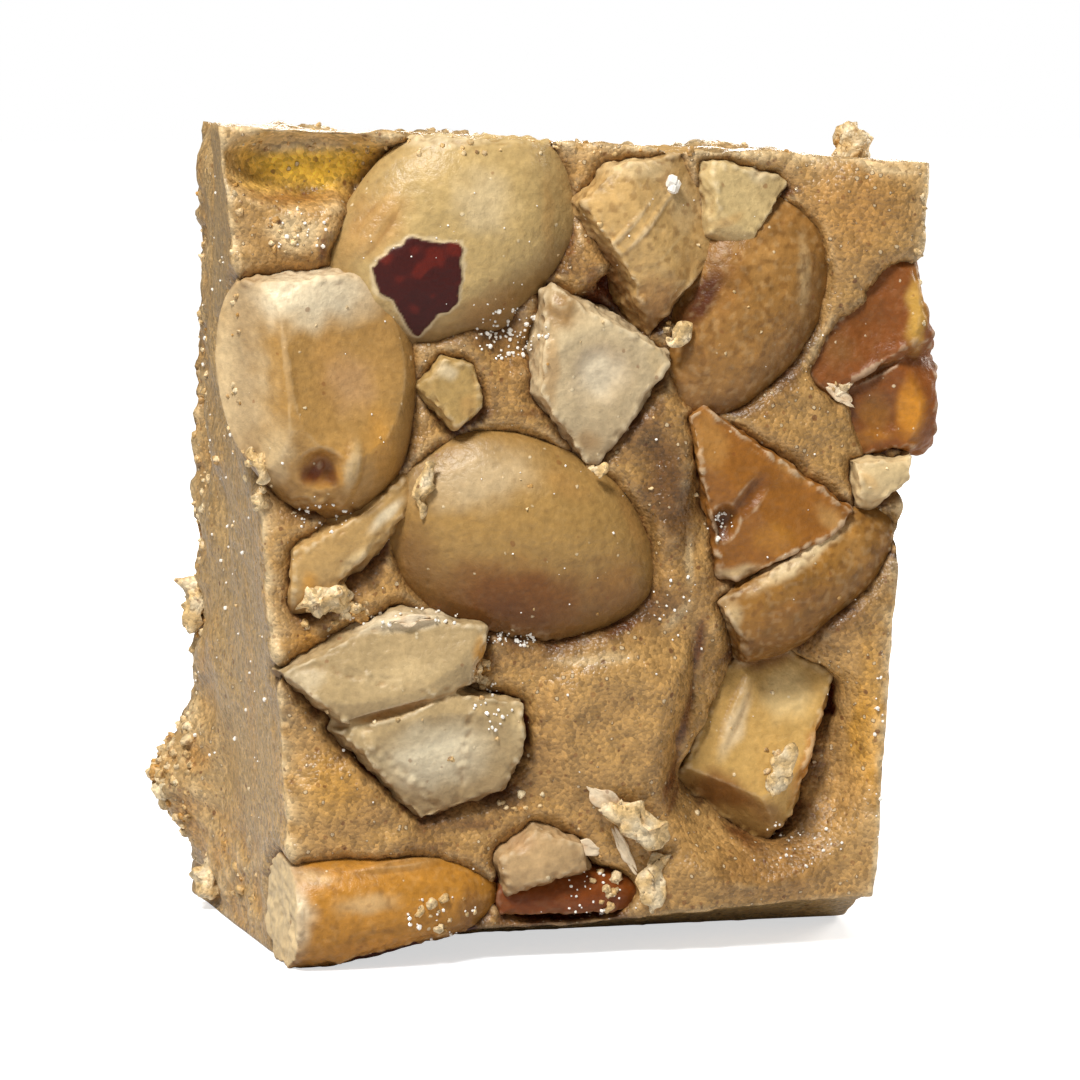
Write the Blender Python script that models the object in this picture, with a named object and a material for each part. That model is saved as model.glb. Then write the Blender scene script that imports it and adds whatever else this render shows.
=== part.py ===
"""A square of peanut butter fudge, standing on one cut side with its peanut-studded face to the front.

Run it with blender --background --python part.py, or from Blender's text editor. Blender works in
metres; every size below is in millimetres and is scaled on its way in. X runs to the right across
the peanut face, Y from that face into the fudge, and Z up.
"""
import math

import bmesh
import bpy
from mathutils import Matrix, Vector, noise

MM = 0.001

# Driving sizes of the fudge, a knife-cut square that is a little wider at the top than at the base.
# Its top falls by TOP_DROP either side of the middle, from left to right.
WIDTH = 33.2
HEIGHT = 39.3
THICKNESS = 19.5
TOP_DROP = 0.9
FACE_Y = -10.0

# The four upright edges of the block: x at the base, x at the top, and how late on the way up the
# edge swings over, where 1 is a straight edge.
UPRIGHT_EDGES = {
    "front left": (-13.9, -17.2, 1.4),
    "front right": (14.8, 17.3, 1.0),
    "back left": (-16.6, -15.5, 4.0),
    "back right": (15.6, 16.7, 1.0),
}

# The lower edge of the face is worn, a little along its length and most at the right corner,
# and it stands clear of the table as far in as this share of the thickness.
EDGE_WEAR = 1.6
CORNER_WEAR = 0.8
WORN_SHARE = 0.38

# How far across the block, from -1 to 1, the wear of the edge and of the corner sets in.
EDGE_WEAR_SPAN = (-0.95, -0.3)
CORNER_WEAR_SPAN = (-0.2, 1.0)

# The cut sides are smooth near the peanuts and grow crumbly over these shares of the thickness.
CRUMBLY_SPAN = (0.25, 0.7)
CRUMBLY_DEPTH = 0.75
SMOOTH_DEPTH = 0.12
BROAD_LUMP = 5.0
SMALL_LUMP = 2.9

# Spacing of the grid that the block is made of, and the angle from which its facets stay sharp.
GRID_STEP = 1.5
SHARP_ANGLE = math.radians(40)

# Room left round each peanut in its socket, and between two peanuts.
GAP = 0.32

# Waves of the poured face: length and height of the broad and of the fine ones.
BROAD_WAVE = (7.0, 0.55)
FINE_WAVE = (2.9, 0.22)

# Swells and hollows of the poured face: centre x, centre z, half width, half height, rise, and the
# share of its half sizes over which it keeps its full rise.
FACE_SWELLS = {
    "tongue under the big half": (2.2, 11.6, 4.9, 4.4, 1.1, 0.5),
    "ridge beside the big half": (5.0, 20.6, 1.5, 5.2, 0.6, 0.3),
    "plain upper right corner": (13.6, 35.9, 3.4, 3.2, 0.6, 0.4),
    "rim right of the sunk chunk": (14.5, 9.5, 1.3, 7.5, 0.4, 0.3),
    "rim under the sunk chunk": (8.4, 4.0, 4.4, 1.5, 0.6, 0.4),
    "plain right middle": (10.4, 26.2, 2.6, 2.0, 0.3, 0.4),
    "plain lower left": (-11.8, 8.4, 2.6, 2.2, 0.4, 0.4),
    "imprint of a lost peanut": (-12.6, 38.3, 4.3, 1.8, -2.0, 0.6),
    "ledge under the imprint": (-13.2, 35.2, 2.6, 1.1, 0.3, 0.4),
    "hollow above the white chip": (1.9, 31.6, 1.9, 1.7, -1.4, 0.3),
    "hollow under the skin half": (-3.2, 29.8, 2.0, 1.4, -0.7, 0.3),
    "recess of the sunk chunk": (9.3, 9.9, 4.9, 5.8, -1.9, 0.72),
    "hollow left of the triangle": (5.7, 21.0, 0.8, 2.6, -0.6, 0.3),
    "hollow round the small chip": (-0.4, 3.4, 3.6, 1.5, -0.8, 0.4),
}

# How far past its half sizes a swell or hollow fades out.
SWELL_REACH = 1.2

# A lump of crumb that bulges from the back edge, low on the left.
BULGE_CENTRE = Vector((-16.0, 8.2, 6.6))
BULGE_RADIUS = 5.2
BULGE_RISE = 2.5

# A grid point whose share of the way is above this lies on the skin of the block.
OUTERMOST = 0.999

# Colours, in linear light.
FUDGE_COLOUR = (0.50, 0.33, 0.16, 1.0)
PALE_NUT = (0.66, 0.47, 0.24, 1.0)
GOLDEN_NUT = (0.55, 0.32, 0.11, 1.0)
BROWN_NUT = (0.42, 0.22, 0.08, 1.0)
WHITE_NUT = (0.78, 0.68, 0.46, 1.0)


class Shard:
    """A piece of peanut: an egg-shaped dome, turned on the face and cut by flat breaks.

    x and z place its centre on the face, and proud is how far its crown stands in front of it.
    turn swings its length on the face, tilt brings the far end forward and roll the upper side.
    Each cut is (direction on the face in degrees, distance from the centre, lean towards the viewer).
    """

    def __init__(self, x, z, proud, size, turn, tilt=0.0, roll=0.0, egg=0.0, fine=2, cuts=()):
        self.length, self.width, self.thickness = size
        self.centre = Vector((x, FACE_Y + self.thickness / 2 - proud, z))
        self.turn = math.radians(turn)
        self.tilt = math.radians(tilt)
        self.roll = math.radians(roll)
        self.egg = egg
        self.fine = fine
        self.cuts = cuts


# Where two peanuts press together, the later one in this list gives way to the earlier.
PEANUTS = {
    "peanut_left_half": (GOLDEN_NUT, [
        Shard(-12.4, 28.0, 2.4, (13.4, 9.7, 6.6), -80, roll=-6, egg=0.12, fine=3, cuts=(
            (95, 5.4, 14), (30, 2.55, 76), (182, 3.3, 40), (258, 5.7, 25)))]),
    "peanut_white_chip": (WHITE_NUT, [
        Shard(0.6, 28.5, 1.7, (9.4, 8.0, 3.6), -66, cuts=(
            (60, 2.7, 12), (-36, 2.9, 14), (-143, 2.9, 10), (175, 2.8, 8), (-60, 1.15, 78)))]),
    "peanut_upper_chunk": (GOLDEN_NUT, [
        Shard(3.4, 34.8, 1.5, (11.2, 9.8, 6.0), -72, tilt=-8, cuts=(
            (95, 4.0, 8), (138, 4.1, 12), (206, 3.1, 16), (-40, 3.5, 14), (20, 2.5, 60), (10, 3.6, 8)))]),
    "peanut_upper_chip": (PALE_NUT, [
        Shard(7.9, 36.5, 1.0, (6.4, 4.4, 3.0), -20, cuts=(
            (78, 1.7, 10), (-32, 1.6, 10), (40, 1.0, 74)))]),
    "peanut_big_half": (PALE_NUT, [
        Shard(-2.7, 20.2, 1.8, (14.0, 10.4, 6.2), -20, roll=8, egg=0.1, fine=3, cuts=(
            (-100, 4.4, 22),))]),
    "peanut_triangle": (BROWN_NUT, [
        Shard(8.8, 22.2, 1.6, (14.0, 13.0, 6.0), -50, cuts=(
            (120, 5.5, 8), (55, 2.5, 12), (-41, 4.2, 10), (-67, 3.5, 14), (-107, 4.2, 10),
            (-167, 2.7, 10), (75, 2.1, 85), (215, 2.2, 76)))]),
    "peanut_skin_half": (PALE_NUT, [
        Shard(-6.0, 34.7, 1.5, (13.8, 10.4, 6.0), 36, roll=8, egg=-0.12, fine=3, cuts=(
            (88, 5.0, 4),))]),
    "peanut_elongated_half": (BROWN_NUT, [
        Shard(8.4, 31.0, 1.0, (13.4, 7.8, 5.6), 60, roll=10, egg=-0.2, cuts=((-86, 4.9, 10),))]),
    "peanut_edge_lobes": (BROWN_NUT, [
        Shard(14.8, 30.3, 1.2, (8.2, 6.2, 4.6), 52, cuts=(
            (145, 1.9, 10), (-66, 2.1, 35), (160, 1.3, 70), (14, 2.8, 10))),
        Shard(15.2, 26.6, 0.9, (7.4, 6.4, 4.8), 10, cuts=(
            (-86, 2.5, 14), (203, 3.5, 10), (105, 2.6, 40), (190, 1.5, 70), (0, 2.8, 10)))]),
    "peanut_curved_half": (PALE_NUT, [
        Shard(11.3, 18.1, 1.0, (11.6, 5.8, 5.0), 34, roll=14, egg=0.1, cuts=(
            (124, 1.9, 10), (-150, 4.4, 8), (-6, 4.3, 6)))]),
    "peanut_sunk_chunk": (PALE_NUT, [
        Shard(9.3, 10.0, -0.2, (13.0, 9.6, 5.8), 58, cuts=(
            (108, 4.1, 16), (64, 4.9, 14), (-17, 3.0, 14), (-44, 4.0, 14), (-128, 4.0, 14),
            (153, 3.1, 14), (-128, 3.3, 48), (120, 1.9, 74)))]),
    "peanut_split_half": (WHITE_NUT, [
        Shard(-9.1, 14.7, 1.9, (12.0, 6.8, 4.2), 12, cuts=(
            (117, 2.35, 14), (79, 2.7, 10), (-10, 4.2, 14), (-131, 3.8, 10), (112, 1.5, 74),
            (-70, 2.3, 6))),
        Shard(-6.6, 10.5, 1.8, (11.4, 8.4, 4.2), -8, cuts=(
            (-137, 3.2, 14), (-71, 2.9, 14), (2, 3.9, 10), (-25, 3.5, 12), (78, 3.0, 6),
            (-86, 1.35, 76)))]),
    "peanut_bottom_half": (GOLDEN_NUT, [
        Shard(-11.2, 2.75, 1.6, (15.4, 5.9, 6.4), 4, fine=3, cuts=(
            (-90, 2.7, 0), (180, 3.05, 7), (-78, 2.6, 12)))]),
    "peanut_small_chip": (PALE_NUT, [
        Shard(-1.8, 4.9, 1.0, (6.4, 4.6, 3.2), 14, cuts=(
            (128, 1.7, 14), (72, 1.6, 14), (13, 2.2, 14), (-75, 1.3, 20), (-164, 2.2, 10)))]),
    "peanut_brown_strip": (BROWN_NUT, [
        Shard(-0.9, 2.8, 0.3, (9.4, 3.2, 3.4), 2, cuts=((-90, 0.6, 0), (180, 3.0, 0)))]),
    "peanut_sliver": (WHITE_NUT, [
        Shard(-11.4, 20.6, 0.9, (9.2, 4.4, 3.0), 42, cuts=(
            (-45, 0.75, 26), (122, 1.1, 20), (180, 2.5, 0)))]),
    "peanut_crumb_chip": (WHITE_NUT, [
        Shard(-6.1, 27.7, 1.1, (4.8, 3.8, 3.0), -80, cuts=(
            (73, 1.5, 10), (11, 1.3, 10), (-54, 1.6, 10), (-137, 1.4, 10), (138, 1.6, 10),
            (20, 1.1, 80)))]),
    "peanut_edge_bit": (PALE_NUT, [
        Shard(15.0, 23.2, 1.0, (4.6, 3.4, 2.8), 8, cuts=(
            (93, 1.0, 10), (-53, 1.1, 12), (-167, 1.4, 8), (-8, 1.4, 8)))]),
}

# Crumbs stuck to the fudge that show from a step away: centre and half sizes.
CRUMBS = {
    "flake beside the small chip": ((2.6, FACE_Y - 0.9, 6.6), (1.5, 0.7, 1.0)),
    "flake at the lower edge": ((3.6, FACE_Y - 0.2, 3.6), (0.9, 0.8, 1.8)),
    "crumb above the split half": ((-12.4, FACE_Y - 0.2, 17.9), (1.4, 0.9, 0.8)),
    "crumb on the top": ((14.9, -5.0, 39.0), (0.8, 0.8, 1.3)),
    "crumb at the foot of the left side": ((-15.9, 5.4, 1.5), (1.0, 1.2, 1.0)),
    "crumb on the back left edge": ((-16.2, 8.4, 15.5), (0.9, 1.2, 1.4)),
    "low crumb on the back right edge": ((15.6, 7.6, 7.0), (1.0, 1.3, 1.2)),
    "high crumb on the back right edge": ((16.4, 7.9, 29.5), (1.1, 1.2, 1.5)),
}
CRUMB_UNEVENNESS = 0.3


def smoothstep(low, high, value):
    """A ramp from 0 at low to 1 at high, level at both ends."""
    share = min(1.0, max(0.0, (value - low) / (high - low)))
    return share * share * (3.0 - 2.0 * share)


def clear_scene():
    for old in list(bpy.data.objects):
        bpy.data.objects.remove(old, do_unlink=True)


def new_collection(name):
    collection = bpy.data.collections.new(name)
    bpy.context.scene.collection.children.link(collection)
    return collection


def new_material(name, colour, roughness):
    material = bpy.data.materials.new(name)
    material.use_nodes = True
    shader = material.node_tree.nodes["Principled BSDF"]
    shader.inputs["Base Color"].default_value = colour
    shader.inputs["Roughness"].default_value = roughness
    shader.inputs["Metallic"].default_value = 0.0
    material.diffuse_color = colour
    return material


def mesh_object(name, bm, collection, material=None):
    """Turns a bmesh in millimetres into an object in metres, of triangles, which cut cleanly."""
    bmesh.ops.recalc_face_normals(bm, faces=bm.faces)
    bmesh.ops.triangulate(bm, faces=bm.faces)
    bmesh.ops.scale(bm, verts=bm.verts, vec=(MM, MM, MM))
    mesh = bpy.data.meshes.new(name)
    bm.to_mesh(mesh)
    bm.free()
    obj = bpy.data.objects.new(name, mesh)
    collection.objects.link(obj)
    if material:
        mesh.materials.append(material)
    return obj


def make_cutter(obj):
    obj.hide_render = True
    obj.display_type = "WIRE"


def add_boolean(obj, other, operation):
    modifier = obj.modifiers.new(f"{operation.lower()} {other.name}", "BOOLEAN")
    modifier.operation = operation
    modifier.object = other
    modifier.solver = "EXACT"


def boxes_meet(one, other):
    """Whether the boxes round two objects overlap."""
    for axis in range(3):
        spans = [[vert.co[axis] for vert in obj.data.vertices] for obj in (one, other)]
        if min(spans[0]) > max(spans[1]) or min(spans[1]) > max(spans[0]):
            return False
    return True


def freeze(obj):
    """Keeps what the modifiers make, drops the modifiers and shades the facets smooth."""
    depsgraph = bpy.context.evaluated_depsgraph_get()
    mesh = bpy.data.meshes.new_from_object(obj.evaluated_get(depsgraph))
    mesh.shade_smooth()
    mesh.set_sharp_from_angle(angle=SHARP_ANGLE)
    obj.modifiers.clear()
    obj.data = mesh


# The peanuts

def cut_flat(bm, point, direction):
    """Breaks off what lies beyond a plane and closes the break with one flat face."""
    geometry = bm.verts[:] + bm.edges[:] + bm.faces[:]
    cut = bmesh.ops.bisect_plane(
        bm, geom=geometry, dist=1e-5, plane_co=point, plane_no=direction, clear_outer=True)
    rim = [item for item in cut["geom_cut"] if isinstance(item, bmesh.types.BMEdge)]
    if rim:
        bmesh.ops.contextual_create(bm, geom=rim)


def shard_bmesh(shard, grow):
    """The shard in millimetres, with every surface moved outwards by grow."""
    bm = bmesh.new()
    bmesh.ops.create_icosphere(bm, subdivisions=shard.fine, radius=1.0)
    for vert in bm.verts:
        vert.co.z *= 1.0 - shard.egg * vert.co.x
        vert.co.x *= shard.length / 2 + grow
        vert.co.y *= shard.thickness / 2 + grow
        vert.co.z *= shard.width / 2 + grow
    turned = (
        Matrix.Rotation(-shard.turn, 4, "Y")
        @ Matrix.Rotation(-shard.tilt, 4, "Z")
        @ Matrix.Rotation(shard.roll, 4, "X")
    )
    bmesh.ops.transform(bm, matrix=Matrix.Translation(shard.centre) @ turned, verts=bm.verts)
    for toward, distance, lean in shard.cuts:
        toward, lean = math.radians(toward), math.radians(lean)
        direction = Vector((
            math.cos(toward) * math.cos(lean), -math.sin(lean), math.sin(toward) * math.cos(lean)))
        cut_flat(bm, shard.centre + direction * (distance + grow), direction)
    return bm


def build_peanuts(parts, cutters):
    """Every peanut as its own solid, and a cutter for each shard, one gap larger all round."""
    finished = {}
    shard_cutters = {}
    for name, (colour, shards) in PEANUTS.items():
        material = new_material(name + "_finish", colour, 0.45)
        nut = mesh_object(name, shard_bmesh(shards[0], 0.0), parts, material)
        for index, shard in enumerate(shards[1:]):
            lobe = mesh_object(f"{name}_lobe_{index}", shard_bmesh(shard, 0.0), cutters)
            add_boolean(nut, lobe, "UNION")
            make_cutter(lobe)
        shard_cutters[name] = []
        for index, shard in enumerate(shards):
            cutter = mesh_object(f"{name}_socket_{index}", shard_bmesh(shard, GAP), cutters)
            make_cutter(cutter)
            shard_cutters[name].append(cutter)
        finished[name] = nut
    sockets = []
    for name, nut in finished.items():
        for cutter in sockets:
            if any(boxes_meet(own, cutter) for own in shard_cutters[name]):
                add_boolean(nut, cutter, "DIFFERENCE")
        sockets += shard_cutters[name]
    return finished, sockets


# The fudge

def gridded_cube(steps):
    """A unit cube centred on the origin, cut into a grid of so many steps along X, Y and Z."""
    bm = bmesh.new()
    bmesh.ops.create_cube(bm, size=1.0)
    for axis, count in enumerate(steps):
        along = [edge for edge in bm.edges
                 if abs(edge.verts[0].co[axis] - edge.verts[1].co[axis]) > 0.5]
        bmesh.ops.subdivide_edges(bm, edges=along, cuts=count - 1, use_grid_fill=True)
    return bm


def face_relief(x, z):
    """How far the poured face stands forward at a place on it."""
    rise = 0.0
    for (length, height), offset in ((BROAD_WAVE, 3.1), (FINE_WAVE, 8.4)):
        rise += height * noise.noise(Vector((x / length, offset, z / length)))
    for centre_x, centre_z, half_x, half_z, swell, level_share in FACE_SWELLS.values():
        distance = math.hypot((x - centre_x) / half_x, (z - centre_z) / half_z)
        rise += swell * (1.0 - smoothstep(level_share, SWELL_REACH, distance))
    return rise


def crumble(point, back):
    """How far a cut side stands out at a point, rougher towards the back of the slab."""
    broad = noise.noise(point / BROAD_LUMP)
    small = noise.noise(point / SMALL_LUMP)
    crags = CRUMBLY_DEPTH * (0.7 * broad + 0.8 * small - 0.25)
    return SMOOTH_DEPTH * broad + crags * smoothstep(*CRUMBLY_SPAN, back)


def edge_x(edge, up):
    """The x of one upright edge at a share of the height."""
    base, top, lateness = UPRIGHT_EDGES[edge]
    return base + (top - base) * up ** lateness


def place_in_block(across, back, up):
    """The point of the plain block at shares across (-1 to 1), back (0 to 1) and up (0 to 1)."""
    left = edge_x("front left", up) * (1.0 - back) + edge_x("back left", up) * back
    right = edge_x("front right", up) * (1.0 - back) + edge_x("back right", up) * back
    wear = EDGE_WEAR * smoothstep(*EDGE_WEAR_SPAN, across)
    wear += CORNER_WEAR * smoothstep(*CORNER_WEAR_SPAN, across)
    base = wear * (1.0 - smoothstep(0.0, WORN_SHARE, back))
    top = HEIGHT - TOP_DROP * across
    x = left + (right - left) * (across + 1.0) / 2.0
    return Vector((x, FACE_Y + THICKNESS * back, base + (top - base) * up))


def roughen(point, across, back, up):
    """Moves a point of the block's skin along the sides that it lies on, except on the underside."""
    moved = point.copy()
    if up < 1.0 - OUTERMOST:
        return moved
    if abs(across) > OUTERMOST:
        moved.x += math.copysign(crumble(point, back), across)
    if up > OUTERMOST:
        moved.z += crumble(point, back)
    if back > OUTERMOST:
        moved.y += crumble(point, back)
    if back < 1.0 - OUTERMOST:
        moved.y -= face_relief(point.x, point.z)
    if across < -OUTERMOST:
        distance = (point - BULGE_CENTRE).length / BULGE_RADIUS
        moved.x -= BULGE_RISE * (1.0 - smoothstep(0.1, 1.0, distance))
    return moved


def crumb_bmesh(centre, half_sizes, seed):
    """An uneven little lump in millimetres."""
    bm = bmesh.new()
    bmesh.ops.create_icosphere(bm, subdivisions=1, radius=1.0)
    bmesh.ops.scale(bm, verts=bm.verts, vec=half_sizes)
    for vert in bm.verts:
        vert.co *= 1.0 + CRUMB_UNEVENNESS * noise.noise(vert.co + Vector((seed, 0.0, 0.0)))
    bmesh.ops.translate(bm, verts=bm.verts, vec=centre)
    return bm


def build_fudge(parts, cutters, sockets):
    """The block of fudge with its relief, its stuck crumbs, and a socket for each peanut."""
    bm = gridded_cube([round(size / GRID_STEP) for size in (WIDTH, THICKNESS, HEIGHT)])
    for vert in bm.verts:
        across, back, up = vert.co.x * 2.0, vert.co.y + 0.5, vert.co.z + 0.5
        vert.co = roughen(place_in_block(across, back, up), across, back, up)
    fudge = mesh_object("fudge_block", bm, parts, new_material("fudge_finish", FUDGE_COLOUR, 0.55))
    for seed, (name, (centre, half_sizes)) in enumerate(CRUMBS.items()):
        crumb = mesh_object(name, crumb_bmesh(centre, half_sizes, seed), cutters)
        make_cutter(crumb)
        add_boolean(fudge, crumb, "UNION")
    for socket in sockets:
        add_boolean(fudge, socket, "DIFFERENCE")
    return fudge


def keep_largest_piece(obj):
    """Drops scraps that a cut has left loose, so that the solid is one piece."""
    bm = bmesh.new()
    bm.from_mesh(obj.data)
    bm.verts.ensure_lookup_table()
    unseen = set(bm.verts)
    islands = []
    while unseen:
        island, front = set(), [next(iter(unseen))]
        while front:
            vert = front.pop()
            if vert in island:
                continue
            island.add(vert)
            front.extend(edge.other_vert(vert) for edge in vert.link_edges)
        unseen -= island
        islands.append(island)
    largest = max(islands, key=len)
    bmesh.ops.delete(bm, geom=[vert for vert in bm.verts if vert not in largest], context="VERTS")
    bm.to_mesh(obj.data)
    bm.free()


def stand_on_origin(objects):
    """Moves the parts together so that the middle of their box's underside is the origin."""
    corners = [vert.co for obj in objects for vert in obj.data.vertices]
    low = Vector(min(corner[axis] for corner in corners) for axis in range(3))
    high = Vector(max(corner[axis] for corner in corners) for axis in range(3))
    shift = Vector((-(low.x + high.x) / 2, -(low.y + high.y) / 2, -low.z))
    for obj in objects:
        obj.data.transform(Matrix.Translation(shift))


def main():
    clear_scene()
    parts = new_collection("peanut_butter_fudge")
    cutters = new_collection("cutters")
    peanuts, sockets = build_peanuts(parts, cutters)
    fudge = build_fudge(parts, cutters, sockets)
    solids = [fudge, *peanuts.values()]
    for solid in solids:
        freeze(solid)
        keep_largest_piece(solid)
    for cutter in list(cutters.objects):
        bpy.data.objects.remove(cutter, do_unlink=True)
    stand_on_origin(solids)


main()
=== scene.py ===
# %% [markdown]
# # Dressing a square of peanut butter fudge
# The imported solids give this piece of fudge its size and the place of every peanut. This lesson
# loads them as a fixed frame and models finer pieces in the same places: a poured face that flows
# round the peanuts, cut sides that crumble towards the back, and peanuts with breaks, pits and skin.
# Blender works in metres. The measures here are millimetres, because a sweet is small.

# %% Load the frame
import math
import random

import bmesh
import bpy
import numpy as np
from mathutils import Matrix, Vector, noise
from mathutils.bvhtree import BVHTree


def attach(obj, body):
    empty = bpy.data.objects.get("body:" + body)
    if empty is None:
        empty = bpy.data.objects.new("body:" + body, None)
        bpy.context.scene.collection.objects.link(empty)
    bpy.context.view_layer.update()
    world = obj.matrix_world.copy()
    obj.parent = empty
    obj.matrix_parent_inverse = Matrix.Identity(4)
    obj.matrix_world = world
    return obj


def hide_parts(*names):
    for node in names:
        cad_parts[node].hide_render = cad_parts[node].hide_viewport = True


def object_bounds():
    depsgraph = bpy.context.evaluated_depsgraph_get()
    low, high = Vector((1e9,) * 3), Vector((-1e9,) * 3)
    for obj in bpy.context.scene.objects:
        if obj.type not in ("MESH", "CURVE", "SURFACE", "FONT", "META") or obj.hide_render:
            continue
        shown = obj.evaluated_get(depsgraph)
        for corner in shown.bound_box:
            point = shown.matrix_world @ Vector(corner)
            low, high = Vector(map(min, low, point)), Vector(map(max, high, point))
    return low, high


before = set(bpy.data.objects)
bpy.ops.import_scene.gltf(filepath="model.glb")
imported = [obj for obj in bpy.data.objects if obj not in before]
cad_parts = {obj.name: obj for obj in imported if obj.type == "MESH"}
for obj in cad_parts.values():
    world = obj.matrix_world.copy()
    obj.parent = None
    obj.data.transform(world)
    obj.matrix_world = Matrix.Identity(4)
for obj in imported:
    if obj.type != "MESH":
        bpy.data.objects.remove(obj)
cad_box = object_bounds()
print("solids:", len(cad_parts), "box:", [round(1000 * side, 2) for side in cad_box[1] - cad_box[0]])

# %% [markdown]
# ## One frame for every measure
# On the real piece, everything is easiest to measure from the middle of the lower front edge: X to
# the right, Z up, and the poured face 10 mm in front of the middle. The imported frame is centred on
# the whole piece instead, so one shift turns the one into the other. Keeping it in two helpers is
# safer than adding it in every formula.

# %% Millimetres on the face, metres in the frame
MM = 0.001
FACE_Y = -10.0
FACE_SHIFT = np.array((0.535, 1.085, 0.0))
LOWEST, HIGHEST = (np.array(corner) / MM - FACE_SHIFT for corner in cad_box)


def to_frame(point):
    """A point in face millimetres as a vector in the frame, in metres."""
    return Vector((np.array(point) + FACE_SHIFT) * MM)


def read_rows(items, key):
    """Three numbers for each item of a mesh, one row each."""
    flat = np.empty(len(items) * 3, np.float32)
    items.foreach_get(key, flat)
    return flat.reshape(-1, 3).astype(float)


def read_points(piece):
    """The corners of a mesh in face millimetres, one row each."""
    return read_rows(piece.data.vertices, "co") / MM - FACE_SHIFT


def read_normals(piece):
    """The direction in which the surface faces at each corner."""
    return read_rows(piece.data.vertex_normals, "vector")


def write_points(piece, points):
    """Puts the corners in place, and keeps them inside the box of the solids."""
    points = np.clip(points, LOWEST, HIGHEST)
    piece.data.vertices.foreach_set("co", ((points + FACE_SHIFT) * MM).astype(np.float32).ravel())
    piece.data.update()


def keep_inside(points):
    """Moves a small piece just far enough to lie inside the box of the solids."""
    too_high = np.maximum(points.max(axis=0) - HIGHEST, 0.0)
    too_low = np.maximum(LOWEST - points.min(axis=0), 0.0)
    return points - too_high + too_low


# %% [markdown]
# ## Camera
# The camera stands a little left of the piece and looks slightly down on it, so the left cut side
# shows as a narrow strip. A long lens from 19 cm keeps the edges nearly straight, as they are when
# a small thing is photographed from an arm's length away.

# %% Camera
CAMERA_PLACE = (-40.0, -196.0, 41.9)
CAMERA_AIM = (-1.81, -9.61, 20.4)
SENSOR = 36.0
# The frame is 504 wide at a distance of 1862, in any unit.
FRAME_SHARE = 504.0 / 1862.0

camera_data = bpy.data.cameras.new("Camera")
camera_data.sensor_width = SENSOR
camera_data.lens = SENSOR / FRAME_SHARE
camera_data.clip_start = 0.005
camera = bpy.data.objects.new("Camera", camera_data)
bpy.context.scene.collection.objects.link(camera)
camera.location = to_frame(CAMERA_PLACE)
camera.rotation_euler = (to_frame(CAMERA_AIM) - camera.location).to_track_quat("-Z", "Y").to_euler()
bpy.context.scene.camera = camera
print("lens:", round(camera_data.lens, 1), "mm")

# %% [markdown]
# ## Light
# Food on white is lit by one large soft light from above and in front, and the white room fills
# the shadows. A weaker panel on the right lets the thin edges glow, and another at the back shows
# the torn side. The Standard view keeps whites white, and the tones as contrasty as a food
# photograph is.

# %% Room
WHITE_LIGHT = (1.0, 1.0, 1.0, 1.0)
ROOM_TINT, ROOM_STRENGTH = (1.0, 0.91, 0.77, 1.0), 0.24


def set_inputs(node, values):
    """Sets inputs of a node, given by their names."""
    for label, value in values.items():
        node.inputs[label].default_value = value


bpy.context.scene.view_settings.view_transform = "Standard"
world = bpy.data.worlds.new("white room")
world.use_nodes = True
bpy.context.scene.world = world
room = world.node_tree
room_light = room.nodes["Background"]
set_inputs(room_light, {"Color": ROOM_TINT, "Strength": ROOM_STRENGTH})
seen_wall = room.nodes.new("ShaderNodeBackground")
set_inputs(seen_wall, {"Color": WHITE_LIGHT})
rays = room.nodes.new("ShaderNodeLightPath")
wall_mix = room.nodes.new("ShaderNodeMixShader")
room.links.new(rays.outputs["Is Camera Ray"], wall_mix.inputs["Fac"])
room.links.new(room_light.outputs["Background"], wall_mix.inputs[1])
room.links.new(seen_wall.outputs["Background"], wall_mix.inputs[2])
room.links.new(wall_mix.outputs["Shader"], room.nodes["World Output"].inputs["Surface"])

# %% Panels
# Each panel: name, place, what it faces, side, watts and colour.
PANELS = (
    ("key from above", (-92.0, -120.0, 218.0), (0.0, -5.0, 20.0), 60.0, 0.7, (1.0, 0.98, 0.95)),
    ("side glow", (160.0, 40.0, 90.0), (0.0, 0.0, 20.0), 80.0, 0.2, (1.0, 0.95, 0.86)),
    ("back glow", (50.0, 210.0, 60.0), (0.0, 0.0, 20.0), 90.0, 0.26, (1.0, 0.96, 0.9)),
)
for name, place, aim, side, watts, colour in PANELS:
    data = bpy.data.lights.new(name, "AREA")
    data.size = side * MM
    data.energy = watts
    data.color = colour
    panel = bpy.data.objects.new(name, data)
    bpy.context.scene.collection.objects.link(panel)
    panel.location = to_frame(place)
    panel.rotation_euler = (to_frame(aim) - panel.location).to_track_quat("-Z", "Y").to_euler()
print("panels:", len(PANELS))

# %% Floor
# To the camera alone, the floor glows more with distance, so that it meets the white wall with no
# line between them.
FLOOR_SIDE, FLOOR_TONE = 6.0, (0.67, 0.69, 0.73, 1.0)
GLOW = {"From Min": 0.02, "From Max": 0.2, "To Min": 0.62, "To Max": 0.95}

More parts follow.
